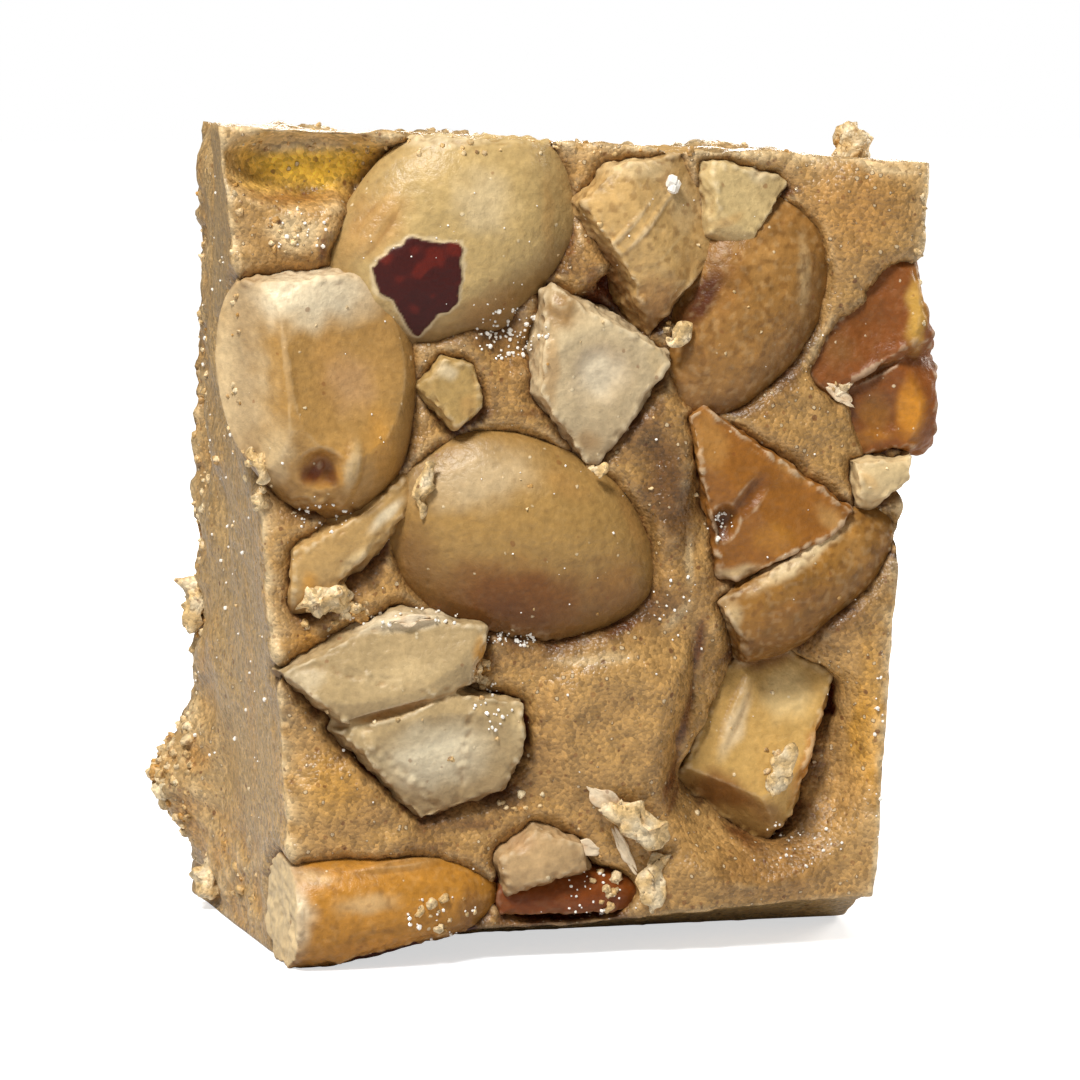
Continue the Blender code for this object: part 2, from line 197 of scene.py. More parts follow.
bpy.ops.object.select_all(action="DESELECT")
bpy.ops.mesh.primitive_plane_add(size=FLOOR_SIDE, location=(0.0, 0.0, 0.0))
floor = bpy.context.object
floor.name = "floor"
floor_finish = bpy.data.materials.new("pale floor")
floor_finish.use_nodes = True
floor_tree = floor_finish.node_tree
floor_shader = floor_tree.nodes["Principled BSDF"]
set_inputs(floor_shader, {"Base Color": FLOOR_TONE, "Roughness": 0.8, "Emission Color": WHITE_LIGHT})
floor_place = floor_tree.nodes.new("ShaderNodeTexCoord")
floor_distance = floor_tree.nodes.new("ShaderNodeVectorMath")
floor_distance.operation = "LENGTH"
floor_glow = floor_tree.nodes.new("ShaderNodeMapRange")
set_inputs(floor_glow, GLOW)
floor_rays = floor_tree.nodes.new("ShaderNodeLightPath")
seen_glow = floor_tree.nodes.new("ShaderNodeMath")
seen_glow.operation = "MULTIPLY"
floor_tree.links.new(floor_place.outputs["Object"], floor_distance.inputs[0])
floor_tree.links.new(floor_distance.outputs["Value"], floor_glow.inputs["Value"])
floor_tree.links.new(floor_glow.outputs["Result"], seen_glow.inputs[0])
floor_tree.links.new(floor_rays.outputs["Is Camera Ray"], seen_glow.inputs[1])
floor_tree.links.new(seen_glow.outputs["Value"], floor_shader.inputs["Emission Strength"])
floor.data.materials.append(floor_finish)

# %% [markdown]
# ## Small helpers
# Soft ramps, smooth noise and ovals are all it takes to say where a surface swells or where a
# colour lies. They work on whole arrays of points at once, which is quick for dense meshes.

# %% Ramps, noise and ovals
def ramp(low, high, value):
    """From 0 at low to 1 at high, level at both ends."""
    share = np.clip((value - low) / (high - low), 0.0, 1.0)
    return share * share * (3.0 - 2.0 * share)


def noise_at(points, lump, seed=0.0):
    """Smooth noise from -1 to 1, with lumps of that size in millimetres, or one size for each axis."""
    shifted = points / np.array(lump) + np.array((seed, 0.6 * seed, -seed))
    return np.array([noise.noise(point) for point in shifted.tolist()])


def waves(points, *layers):
    """Noise of several sizes laid together, each given as height, size and seed."""
    return sum(height * noise_at(points, lump, seed) for height, lump, seed in layers)


def patches(points, lump, seed, low, high):
    """Soft patches, 0 where the noise is under low and 1 where it is over high."""
    return ramp(low, high, noise_at(points, lump, seed))


def sideways_noise(points, lump, seed_across, seed_up):
    """Noise that moves points along the face, and not in or out of it."""
    across, up = noise_at(points, lump, seed_across), noise_at(points, lump, seed_up)
    return np.stack((across, np.zeros(len(points)), up), axis=1)


def oval(points, x, z, half_x, half_z, turn=0.0, level=0.35):
    """1 inside a turned oval on the face, falling to 0 at its rim."""
    cosine, sine = math.cos(math.radians(turn)), math.sin(math.radians(turn))
    across, up = points[:, 0] - x, points[:, 2] - z
    along = (across * cosine + up * sine) / half_x
    aside = (up * cosine - across * sine) / half_z
    return 1.0 - ramp(level, 1.0, np.hypot(along, aside))

# %% Colours on a mesh
def linear(red, green, blue):
    """A colour read from a screen, 0 to 255, in linear light."""
    shares = np.array((red, green, blue)) / 255.0
    return np.where(shares <= 0.04045, shares / 12.92, ((shares + 0.055) / 1.055) ** 2.4)


def blend_towards(colours, colour, share):
    """Colours moved towards one colour by a share for each point."""
    return colours + (colour - colours) * np.clip(share, 0.0, 1.0)[:, None]


def paint(piece, colours, **masks):
    """Stores the colours as the attribute tint, and each mask as an attribute of its own."""
    mesh = piece.data
    tint = mesh.attributes.new("tint", "FLOAT_COLOR", "POINT")
    rgba = np.ones((len(colours), 4), np.float32)
    rgba[:, :3] = np.clip(colours, 0.0, 1.0)
    tint.data.foreach_set("color", rgba.ravel())
    for name, mask in masks.items():
        stored = mesh.attributes.new(name, "FLOAT", "POINT")
        stored.data.foreach_set("value", np.clip(mask, 0.0, 1.0).astype(np.float32))

# %% Edges and creases
def read_edges(piece):
    """The two ends of every edge of a mesh, one row each."""
    flat = np.empty(len(piece.data.edges) * 2, np.int32)
    piece.data.edges.foreach_get("vertices", flat)
    return flat.reshape(-1, 2)


def average_near(values, edges, rounds):
    """Values averaged over the neighbours of each point, again and again."""
    counts = np.bincount(edges.ravel(), minlength=len(values))
    for _ in range(rounds):
        values = (np.bincount(edges[:, 0], values[edges[:, 1]], len(values))
                  + np.bincount(edges[:, 1], values[edges[:, 0]], len(values)) + values) / (counts + 1)
    return values


def edges_and_creases(piece, rounds=4):
    """Two masks: 1 on the outstanding edges of a piece, and 1 in its creases."""
    points, normals, edges = read_points(piece), read_normals(piece), read_edges(piece)
    level = np.stack([average_near(points[:, axis], edges, rounds) for axis in range(3)], axis=1)
    stand = ((points - level) * normals).sum(axis=1)
    stand = (stand - np.median(stand)) / stand.std()
    return ramp(0.7, 2.6, stand), ramp(0.7, 2.6, -stand)

# %% Modelling helpers
def apply_modifier(piece, kind, **settings):
    """Adds a modifier, sets it and applies it."""
    bpy.context.view_layer.objects.active = piece
    modifier = piece.modifiers.new(kind.title(), kind)
    for name, value in settings.items():
        setattr(modifier, name, value)
    bpy.ops.object.modifier_apply(modifier=modifier.name)


def start_primitive():
    """Leaves nothing selected, so that the next operator acts on the new piece alone."""
    if bpy.context.mode != "OBJECT":
        bpy.ops.object.mode_set(mode="OBJECT")
    bpy.ops.object.select_all(action="DESELECT")


def join_pieces(pieces, name):
    """Makes one piece of several, and names it."""
    start_primitive()
    for piece in pieces:
        piece.select_set(True)
    bpy.context.view_layer.objects.active = pieces[0]
    if len(pieces) > 1:
        bpy.ops.object.join()
    joined = bpy.context.view_layer.objects.active
    joined.name = name
    return joined


def tree_of(pieces):
    """A search tree of the faces of some pieces, in face millimetres."""
    all_points, all_faces, start = [], [], 0
    for piece in pieces:
        all_points.append(read_points(piece))
        all_faces += [[start + corner for corner in face.vertices] for face in piece.data.polygons]
        start += len(all_points[-1])
    return BVHTree.FromPolygons(np.concatenate(all_points).tolist(), all_faces)


def finish_piece(piece, material):
    """Gives a piece its material and slot, and lets it ride on the body of the fudge."""
    piece.data.materials.clear()
    piece.data.materials.append(material)
    piece.data.shade_smooth()
    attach(piece, "root")
    print(piece.name, len(piece.data.polygons), "faces")


# %% [markdown]
# ## Shader groups
# The fudge and the peanuts share two effects. Fine grain is the sandy unevenness of ground nuts and
# sugar, and specks are bits of skin, salt or sugar. Each is a node group with its sizes as inputs,
# so that every material can have its own.

# %% Helpers for nodes
PER_METRE = 1000.0


def new_group(name, inputs, outputs):
    """An empty shader group with float inputs, given with their values, and float outputs."""
    group = bpy.data.node_groups.new(name, "ShaderNodeTree")
    for label, value in inputs.items():
        socket = group.interface.new_socket(label, in_out="INPUT", socket_type="NodeSocketFloat")
        socket.default_value = value
    for label in outputs:
        group.interface.new_socket(label, in_out="OUTPUT", socket_type="NodeSocketFloat")
    return group, group.nodes.new("NodeGroupInput"), group.nodes.new("NodeGroupOutput")


def add_math(tree, operation, first, second):
    """A Math node on two values, each a socket or a number."""
    node = tree.nodes.new("ShaderNodeMath")
    node.operation = operation
    for socket, value in zip(node.inputs, (first, second)):
        if isinstance(value, bpy.types.NodeSocket):
            tree.links.new(value, socket)
        else:
            socket.default_value = value
    return node.outputs[0]


def add_texture(tree, kind, scale, **settings):
    """A texture node on Object coordinates. Its scale is a socket or a number."""
    place = tree.nodes.new("ShaderNodeTexCoord")
    node = tree.nodes.new(kind)
    for name, value in settings.items():
        setattr(node, name, value)
    tree.links.new(place.outputs["Object"], node.inputs["Vector"])
    if isinstance(scale, bpy.types.NodeSocket):
        tree.links.new(scale, node.inputs["Scale"])
    else:
        node.inputs["Scale"].default_value = scale
    return node

# %% Fine grain
# How bright each spot is, and how high it stands.
grain_group, grain_in, grain_out = new_group(
    "fine grain", {"Size": 0.3, "Contrast": 0.2}, ["Shade", "Height"])
grain_scale = add_math(grain_group, "DIVIDE", PER_METRE, grain_in.outputs["Size"])
grain_noise = add_texture(grain_group, "ShaderNodeTexNoise", grain_scale)
set_inputs(grain_noise, {"Detail": 3.0, "Roughness": 0.65})
centred = add_math(grain_group, "SUBTRACT", grain_noise.outputs["Fac"], 0.5)
contrasted = add_math(grain_group, "MULTIPLY", centred, grain_in.outputs["Contrast"])
grain_group.links.new(add_math(grain_group, "ADD", 1.0, contrasted), grain_out.inputs["Shade"])
grain_group.links.new(grain_noise.outputs["Fac"], grain_out.inputs["Height"])

# %% Specks
# A mask of small spots with uneven rims, in a share of the cells of a cell pattern.
WOBBLE_SCALE, WOBBLE, RIM_SHARPNESS = 2.5, 0.35, 14.0
speck_group, speck_in, speck_out = new_group(
    "specks", {"Cell": 1.0, "Radius": 0.15, "Share": 0.4}, ["Mask"])
speck_scale = add_math(speck_group, "DIVIDE", PER_METRE, speck_in.outputs["Cell"])
wobble_scale = add_math(speck_group, "MULTIPLY", speck_scale, WOBBLE_SCALE)
speck_cells = add_texture(speck_group, "ShaderNodeTexVoronoi", speck_scale)
speck_wobble = add_texture(speck_group, "ShaderNodeTexNoise", wobble_scale)
cell_values = speck_group.nodes.new("ShaderNodeSeparateColor")
speck_group.links.new(speck_cells.outputs["Color"], cell_values.inputs["Color"])
chosen = add_math(speck_group, "LESS_THAN", cell_values.outputs["Red"], speck_in.outputs["Share"])
centred = add_math(speck_group, "SUBTRACT", speck_wobble.outputs["Fac"], 0.5)
wobble = add_math(speck_group, "MULTIPLY", centred, WOBBLE)
uneven = add_math(speck_group, "ADD", speck_cells.outputs["Distance"], wobble)
growth = add_math(speck_group, "ADD", cell_values.outputs["Green"], 0.5)
reach = add_math(speck_group, "MULTIPLY", speck_in.outputs["Radius"], growth)
inside = add_math(speck_group, "SUBTRACT", reach, uneven)
inside = add_math(speck_group, "MULTIPLY", inside, RIM_SHARPNESS)
inside = add_math(speck_group, "MINIMUM", add_math(speck_group, "MAXIMUM", inside, 0.0), 1.0)
speck_group.links.new(add_math(speck_group, "MULTIPLY", inside, chosen), speck_out.inputs["Mask"])

# %% Grains
# A surface of small domes side by side, each a little brighter or darker.
dome_group, dome_in, dome_out = new_group("grains", {"Size": 0.2, "Contrast": 0.3}, ["Shade", "Height"])
dome_scale = add_math(dome_group, "DIVIDE", PER_METRE, dome_in.outputs["Size"])
dome_cells = add_texture(dome_group, "ShaderNodeTexVoronoi", dome_scale)
dome_values = dome_group.nodes.new("ShaderNodeSeparateColor")
dome_group.links.new(dome_cells.outputs["Color"], dome_values.inputs["Color"])
dome_tone = add_math(dome_group, "SUBTRACT", dome_values.outputs["Blue"], 0.5)
dome_tone = add_math(dome_group, "MULTIPLY", dome_tone, dome_in.outputs["Contrast"])
dome_group.links.new(add_math(dome_group, "ADD", 1.0, dome_tone), dome_out.inputs["Shade"])
dome_height = add_math(dome_group, "SUBTRACT", 1.0, dome_cells.outputs["Distance"])
dome_group.links.new(dome_height, dome_out.inputs["Height"])
print("groups:", [group.name for group in bpy.data.node_groups])

# %% [markdown]
# ## Helpers for materials
# Each material starts from the colour that is painted on its mesh, the attribute tint. Grain and
# specks then vary it, and a bump node gives the relief that is finer than the mesh.

# %% Material helpers
def new_finish(name, specular):
    """A material, its node tree and its shader."""
    material = bpy.data.materials.new(name)
    material.use_nodes = True
    shader = material.node_tree.nodes["Principled BSDF"]
    set_inputs(shader, {"Specular IOR Level": specular})
    return material, material.node_tree, shader


def place_group(tree, group, **values):
    """A shader group in a material, with its own values."""
    node = tree.nodes.new("ShaderNodeGroup")
    node.node_tree = group
    set_inputs(node, values)
    return node


def read_attribute(tree, name, output):
    """What is painted on the mesh under a name, as a colour or as a value."""
    node = tree.nodes.new("ShaderNodeAttribute")
    node.attribute_name = name
    return node.outputs[output]


def add_share(tree, start, value, share):
    """A value plus a share of another one. A share below 0 takes away."""
    return add_math(tree, "ADD", start, add_math(tree, "MULTIPLY", value, share))


def add_specks(tree, colour, specks, strength, tone):
    """Lays specks of one tone over a colour."""
    node = tree.nodes.new("ShaderNodeMix")
    node.data_type = "RGBA"
    share, under, over = node.inputs[0], node.inputs[6], node.inputs[7]
    tree.links.new(add_math(tree, "MULTIPLY", specks.outputs["Mask"], strength), share)
    tree.links.new(colour, under)
    over.default_value = (*linear(*tone), 1.0)
    return node.outputs[2]


def shade_colour(tree, colour, grain):
    """A colour made brighter or darker by a grain."""
    node = tree.nodes.new("ShaderNodeVectorMath")
    node.operation = "SCALE"
    tree.links.new(colour, node.inputs[0])
    tree.links.new(grain.outputs["Shade"], node.inputs["Scale"])
    return node.outputs[0]


def add_bump(tree, shader, height, depth_mm):
    """Relief that is finer than the mesh."""
    bump = tree.nodes.new("ShaderNodeBump")
    set_inputs(bump, {"Strength": 1.0, "Distance": depth_mm * MM})
    tree.links.new(height, bump.inputs["Height"])
    tree.links.new(bump.outputs["Normal"], shader.inputs["Normal"])


# %% [markdown]
# ## Fudge finish
# Peanut butter fudge is sugar and ground nuts: matt to satin, with dark bits of skin and lighter
# grains all through it, which also serve as painted glints. It lets a little light in, which costs
# much render time, so warm dark tones painted in the crevices stand in for that and for the shade
# there. The wet parts beside the nuts are glossier.

# %% Fudge finish
fudge_finish, tree, shader = new_finish("fudge finish", specular=0.42)
sand = place_group(tree, grain_group, Size=0.6, Contrast=0.9)
powder = place_group(tree, dome_group, Size=0.2, Contrast=0.62)
skin_bits = place_group(tree, speck_group, Cell=0.7, Radius=0.15, Share=0.45)
fine_bits = place_group(tree, speck_group, Cell=0.4, Radius=0.25, Share=0.6)
sugar_and_glint_bits = place_group(tree, speck_group, Cell=0.4, Radius=0.2, Share=0.32)
colour = shade_colour(tree, read_attribute(tree, "tint", "Color"), sand)
colour = shade_colour(tree, colour, powder)
colour = add_specks(tree, colour, fine_bits, 0.5, (120, 72, 34))
colour = add_specks(tree, colour, skin_bits, 0.7, (96, 52, 24))
# The sugar specks are pale grains and painted glints at once: near white, and glossier.
colour = add_specks(tree, colour, sugar_and_glint_bits, 0.6, (236, 216, 176))
tree.links.new(colour, shader.inputs["Base Color"])
roughness = add_share(tree, 0.26, powder.outputs["Height"], 0.3)
roughness = add_share(tree, roughness, sugar_and_glint_bits.outputs["Mask"], -0.2)
roughness = add_share(tree, roughness, read_attribute(tree, "wet", "Fac"), -0.22)
tree.links.new(roughness, shader.inputs["Roughness"])
height = add_share(tree, sand.outputs["Height"], powder.outputs["Height"], 0.3)
height = add_share(tree, height, sugar_and_glint_bits.outputs["Mask"], 0.5)
add_bump(tree, shader, height, 0.14)
print(fudge_finish.name, len(tree.nodes), "nodes")

# %% [markdown]
# ## Peanut finish
# A roasted peanut is smooth and faintly oily where its own skin side shows, and dull where it is
# broken. The attribute broken says which, and drives the roughness.

# %% Peanut finish
nut_finish, tree, shader = new_finish("roasted peanut finish", specular=0.32)
cloud = place_group(tree, grain_group, Size=1.6, Contrast=0.45)
pores = place_group(tree, grain_group, Size=0.35, Contrast=0.55)
light_bits = place_group(tree, speck_group, Cell=0.7, Radius=0.11, Share=0.35)
dark_bits = place_group(tree, speck_group, Cell=0.8, Radius=0.14, Share=0.3)
colour = shade_colour(tree, read_attribute(tree, "tint", "Color"), cloud)
colour = shade_colour(tree, colour, pores)
colour = add_specks(tree, colour, light_bits, 0.6, (240, 222, 184))
colour = add_specks(tree, colour, dark_bits, 0.5, (128, 76, 36))
tree.links.new(colour, shader.inputs["Base Color"])
roughness = add_share(tree, 0.28, cloud.outputs["Height"], 0.2)
roughness = add_share(tree, roughness, read_attribute(tree, "broken", "Fac"), 0.15)
tree.links.new(roughness, shader.inputs["Roughness"])
height = add_share(tree, pores.outputs["Height"], cloud.outputs["Height"], 1.5)
height = add_share(tree, height, light_bits.outputs["Mask"], 0.4)
add_bump(tree, shader, height, 0.06)
print(nut_finish.name, len(tree.nodes), "nodes")

# %% [markdown]
# ## Peanuts
# A peanut splits into two halves and breaks into chips, so each piece is an egg-shaped dome cut by
# flat breaks. It starts as a sphere primitive that is stretched, turned and bisected in edit mode.
# A voxel remesh then gives it one even skin, and a few rounds of smoothing take the knife-sharp
# look off the breaks. The measures are those of the solids, so each piece lies where its node does.
# Only some breaks of the sliver and of the upper chunk lie up to 0.75 mm further in.

# %% Peanut shapes
# Each shard: centre x, z and how far it stands proud; length, width, thickness; turn, tilt, roll;
# egg shape; and the cuts as (direction on the face, distance, lean towards the viewer).
SHARDS = {
    "left_half": [((-12.4, 28.0, 2.4), (13.4, 9.7, 6.6), (-80, 0, -6), 0.12, (
        (95, 5.4, 14), (30, 2.55, 76), (182, 3.3, 40), (258, 5.7, 25)))],
    "white_chip": [((0.6, 28.5, 1.7), (9.4, 8.0, 3.6), (-66, 0, 0), 0.0, (
        (60, 2.7, 12), (-36, 2.9, 14), (-143, 2.9, 10), (175, 2.8, 8), (-60, 1.15, 78)))],
    "upper_chunk": [((3.4, 34.8, 1.5), (11.2, 9.8, 6.0), (-72, -8, 0), 0.0, (
        (95, 4.0, 8), (138, 4.1, 12), (211, 2.55, 16), (-40, 3.3, 14), (20, 2.5, 60), (10, 3.6, 8)))],
    "upper_chip": [((7.9, 36.5, 1.0), (6.4, 4.4, 3.0), (-20, 0, 0), 0.0, (
        (78, 1.7, 10), (-32, 1.6, 10), (40, 1.0, 74), (183, 1.75, 25)))],
    "big_half": [((-2.7, 20.2, 1.8), (14.0, 10.4, 6.2), (-20, 0, 8), 0.1, (
        (-100, 4.4, 22),))],
    "triangle": [((8.8, 22.2, 1.6), (14.0, 13.0, 6.0), (-50, 0, 0), 0.0, (
        (120, 5.5, 8), (55, 2.5, 12), (-41, 4.2, 10), (-67, 3.5, 14), (-107, 4.2, 10),
        (-167, 2.7, 10), (75, 2.1, 85), (215, 2.2, 76)))],
    "skin_half": [((-6.0, 34.7, 1.5), (13.8, 10.4, 6.0), (36, 0, 8), -0.12, (
        (88, 5.0, 4),))],
    "elongated_half": [((8.4, 31.0, 1.0), (13.4, 7.8, 5.6), (60, 0, 10), -0.2, ((-86, 4.9, 10),))],
    "edge_lobes": [
        ((14.8, 30.3, 1.2), (8.2, 6.2, 4.6), (52, 0, 0), 0.0, (
            (145, 1.9, 10), (-66, 2.1, 35), (160, 1.3, 70), (14, 2.8, 10))),
        ((15.2, 26.6, 0.9), (7.4, 6.4, 4.8), (10, 0, 0), 0.0, (
            (-86, 2.5, 14), (203, 3.5, 10), (105, 2.6, 40), (190, 1.5, 70), (0, 2.8, 10)))],
    "curved_half": [((11.3, 18.1, 1.0), (11.6, 5.8, 5.0), (34, 0, 14), 0.1, (
        (124, 1.9, 10), (-150, 4.4, 8), (-6, 4.3, 6)))],
    "sunk_chunk": [((9.3, 10.0, -0.2), (13.0, 9.6, 5.8), (58, 0, 0), 0.0, (
        (108, 4.1, 16), (64, 4.9, 14), (-17, 3.0, 14), (-44, 4.0, 14), (-128, 4.0, 14),
        (153, 3.1, 14), (-128, 3.3, 48), (120, 1.9, 74)))],
    "split_half": [
        ((-9.1, 14.7, 1.9), (12.0, 6.8, 4.2), (12, 0, 0), 0.0, (
            (117, 2.35, 14), (79, 2.7, 10), (-10, 4.2, 14), (-131, 3.8, 10), (112, 1.5, 74),
            (-70, 2.3, 6))),
        ((-6.6, 10.5, 1.8), (11.4, 8.4, 4.2), (-8, 0, 0), 0.0, (
            (-137, 3.2, 14), (-71, 2.9, 14), (2, 3.9, 10), (-25, 3.5, 12), (78, 3.0, 6),
            (-86, 1.35, 76)))],
    "bottom_half": [((-11.2, 2.75, 1.6), (15.4, 5.9, 6.4), (4, 0, 0), 0.0, (
        (-90, 2.7, 0), (180, 3.05, 7), (-78, 2.6, 12)))],
    "small_chip": [((-1.8, 4.9, 1.0), (6.4, 4.6, 3.2), (14, 0, 0), 0.0, (
        (128, 1.7, 14), (72, 1.6, 14), (13, 2.2, 14), (-75, 1.3, 20), (-164, 2.2, 10)))],
    "brown_strip": [((-0.9, 2.8, 0.3), (9.4, 3.2, 3.4), (2, 0, 0), 0.0, (
        (-90, 0.6, 0), (180, 3.0, 0)))],
    "sliver": [((-11.4, 20.6, 0.9), (9.2, 4.4, 3.0), (42, 0, 0), 0.0, (
        (-45, 1.5, 26), (122, 1.2, 20), (180, 2.5, 0)))],
    "crumb_chip": [((-6.1, 27.7, 1.1), (4.8, 3.8, 3.0), (-80, 0, 0), 0.0, (
        (73, 1.5, 10), (11, 1.3, 10), (-54, 1.6, 10), (-137, 1.4, 10), (138, 1.6, 10),
        (20, 1.1, 80)))],
    "edge_bit": [((15.0, 23.2, 1.0), (4.6, 3.4, 2.8), (8, 0, 0), 0.0, (
        (93, 1.0, 10), (-53, 1.1, 12), (-167, 1.4, 8), (-8, 1.4, 8)))],
}

# %% Cut one shard
# The remeshed skin has faces of this size, and a break that leans more than this is an inner face.
VOXEL = 0.095
FLAT_FACE_LEAN = 38
RAGGED_FROM, RAGGED_TO = 0.1, 0.35


def shard_centre(place, size):
    """The middle of a shard in face millimetres."""
    x, z, proud = place
    return np.array((x, FACE_Y + size[2] / 2 - proud, z))


def cut_direction(toward, lean):
    """The direction in which a break faces."""
    toward, lean = math.radians(toward), math.radians(lean)
    return np.array((math.cos(toward) * math.cos(lean), -math.sin(lean), math.sin(toward) * math.cos(lean)))


def add_shard(place, size, turns, egg, cuts):
    """One dome with its breaks."""
    start_primitive()
    bpy.ops.mesh.primitive_ico_sphere_add(subdivisions=5, radius=1.0)
    shard = bpy.context.object
    for vertex in shard.data.vertices:
        vertex.co.z *= 1.0 - egg * vertex.co.x
    length, width, thickness = size
    turn, tilt, roll = (math.radians(angle) for angle in turns)
    centre = shard_centre(place, size)
    shard.matrix_world = (
        Matrix.Translation(to_frame(centre))
        @ Matrix.Rotation(-turn, 4, "Y") @ Matrix.Rotation(-tilt, 4, "Z") @ Matrix.Rotation(roll, 4, "X")
        @ Matrix.Diagonal((length / 2 * MM, thickness / 2 * MM, width / 2 * MM, 1.0)))
    bpy.ops.object.transform_apply(location=True, rotation=True, scale=True)
    bpy.ops.object.mode_set(mode="EDIT")
    for toward, distance, lean in cuts:
        direction = cut_direction(toward, lean)
        bpy.ops.mesh.select_all(action="SELECT")
        bpy.ops.mesh.bisect(
            plane_co=to_frame(centre + direction * distance), plane_no=direction,
            use_fill=True, clear_outer=True, threshold=1e-7)
    bpy.ops.object.mode_set(mode="OBJECT")
    return shard


def broken_mask(points, shards):
    """1 on the rough breaks of a peanut, and 0 on its domes and inner faces."""
    nearest = np.full(len(points), 2.0 * RAGGED_TO)
    for place, size, turns, egg, cuts in shards:
        centre = shard_centre(place, size)
        for toward, distance, lean in cuts:
            if lean < FLAT_FACE_LEAN:
                off = (points - centre) @ cut_direction(toward, lean) - distance
                nearest = np.minimum(nearest, np.abs(off))
    return 1.0 - ramp(RAGGED_FROM, RAGGED_TO, nearest)


# %% Make the peanuts
nuts = {}
for name, shards in SHARDS.items():
    nut = join_pieces([add_shard(*shard) for shard in shards], "nut_" + name)
    apply_modifier(nut, "REMESH", mode="VOXEL", voxel_size=VOXEL * MM)
    apply_modifier(nut, "SMOOTH", factor=0.5, iterations=3)
    nuts[name] = nut
print("peanuts:", len(nuts), "faces:", sum(len(nut.data.polygons) for nut in nuts.values()))

# %% [markdown]
# ## Unevenness of the peanuts
# No real nut is a perfect dome. Broad lumps bend it, faint wrinkles run along its length, and the
# breaks are ragged and pitted. Where the germ sat there is a small pit, and split faces have a rim
# and a groove: these dents and swells are listed one oval each.

# %% Dents and swells of the peanuts
# Each oval: centre x and z, half length, half width, turn, and how far it swells, or sinks below 0,
# with the share of it that is level.
NUT_DENTS = {
    "left_half": (
        (-11.6, 28.5, 3.0, 4.8, 8, -0.35, 0.2), (-13.2, 32.6, 4.2, 1.6, 4, 0.12, 0.2),
        (-12.7, 24.2, 1.3, 1.15, 0, -0.6, 0.2), (-12.9, 24.0, 0.8, 0.5, 60, 0.16, 0.1),
        (-11.2, 24.2, 0.6, 1.9, -8, 0.2, 0.2), (-14.5, 27.6, 0.8, 4.3, 4, 0.15, 0.2),),
    "skin_half": (
        (-10.0, 35.5, 0.6, 2.6, -35, 0.12, 0.3),),
    "upper_chunk": (
        (3.2, 35.6, 2.8, 0.25, 48, 0.08, 0.3), (1.9, 35.2, 2.2, 0.2, 48, 0.07, 0.3),),
    "triangle": (
        (7.1, 21.1, 0.8, 1.1, -15, -0.6, 0.2), (8.3, 22.3, 0.6, 1.6, -38, -0.25, 0.2),),
    "white_chip": (
        (0.8, 28.4, 1.5, 1.7, -20, -0.2, 0.4), (-1.1, 31.9, 1.0, 0.8, -30, 0.25, 0.3),),
    "split_half": (
        (-9.7, 12.4, 3.7, 0.3, 16, -0.45, 0.2), (-8.7, 16.8, 3.4, 0.3, 6, 0.2, 0.3),
        (-5.0, 14.1, 0.5, 1.1, 0, -0.8, 0.2),),
    "edge_lobes": (
        (14.6, 28.2, 2.0, 0.2, 28, -0.3, 0.2), (14.7, 30.2, 1.5, 1.8, 0, -0.2, 0.2),
        (15.1, 26.2, 1.4, 1.3, 0, -0.2, 0.2),),
    "bottom_half": (
        (-8.7, 5.0, 3.2, 0.3, 4, 0.15, 0.3),),
    "sunk_chunk": (
        (8.3, 11.7, 0.4, 2.6, -25, 0.15, 0.3),),
}


def roughen_nut(nut, shards, dents):
    """Moves the surface of a peanut in and out, and says where it is broken."""
    points, normals = read_points(nut), read_normals(nut)
    broken = broken_mask(points, shards)
    turn = math.radians(shards[0][2][0])
    along = points[:, 0] * math.cos(turn) + points[:, 2] * math.sin(turn)
    aside = points[:, 2] * math.cos(turn) - points[:, 0] * math.sin(turn)
    grown = np.stack((along, aside, points[:, 1]), axis=1)
    lift = waves(points, (0.13, 2.8, 4.0))
    lift += waves(grown, (0.022, (3.5, 0.5, 0.8), 2.0)) * (1.0 - broken)
    lift += broken * waves(points, (0.16, 0.9, 6.0), (0.11, 0.38, 1.0))
    facing = ramp(0.1, 0.6, -normals[:, 1])
    for x, z, half_x, half_z, turned, swell, level in dents:
        lift += swell * facing * oval(points, x, z, half_x, half_z, turned, level)
    write_points(nut, points + normals * lift[:, None])
    return broken


broken_of = {name: roughen_nut(nuts[name], SHARDS[name], NUT_DENTS.get(name, ())) for name in SHARDS}

# %% [markdown]
# ## Peanut colours
# Roasting leaves every piece another tone, from cream where it broke afterwards to brown. A palette
# of named tones, and a few ovals of them on each piece, give the golden flanks and dark pits, pale
# rims that are partly painted highlight, and painted light and shade: lighter tops, brown
# undersides and dark lines in the crevices.

# %% Palette
CREAM = linear(240, 224, 190)
STRAW = linear(216, 190, 142)
PALE = linear(222, 196, 150)
ROSE = linear(190, 150, 108)
GOLD = linear(198, 154, 92)
HONEY = linear(182, 136, 76)
OCHRE = linear(200, 146, 54)
AMBER = linear(196, 138, 50)
ORANGE = linear(214, 144, 44)
TAN = linear(177, 138, 82)
UMBER = linear(134, 94, 46)
BROWN = linear(138, 90, 38)
DARK = linear(92, 46, 14)
SKIN = linear(64, 9, 3)
RED_SKIN = linear(116, 28, 10)

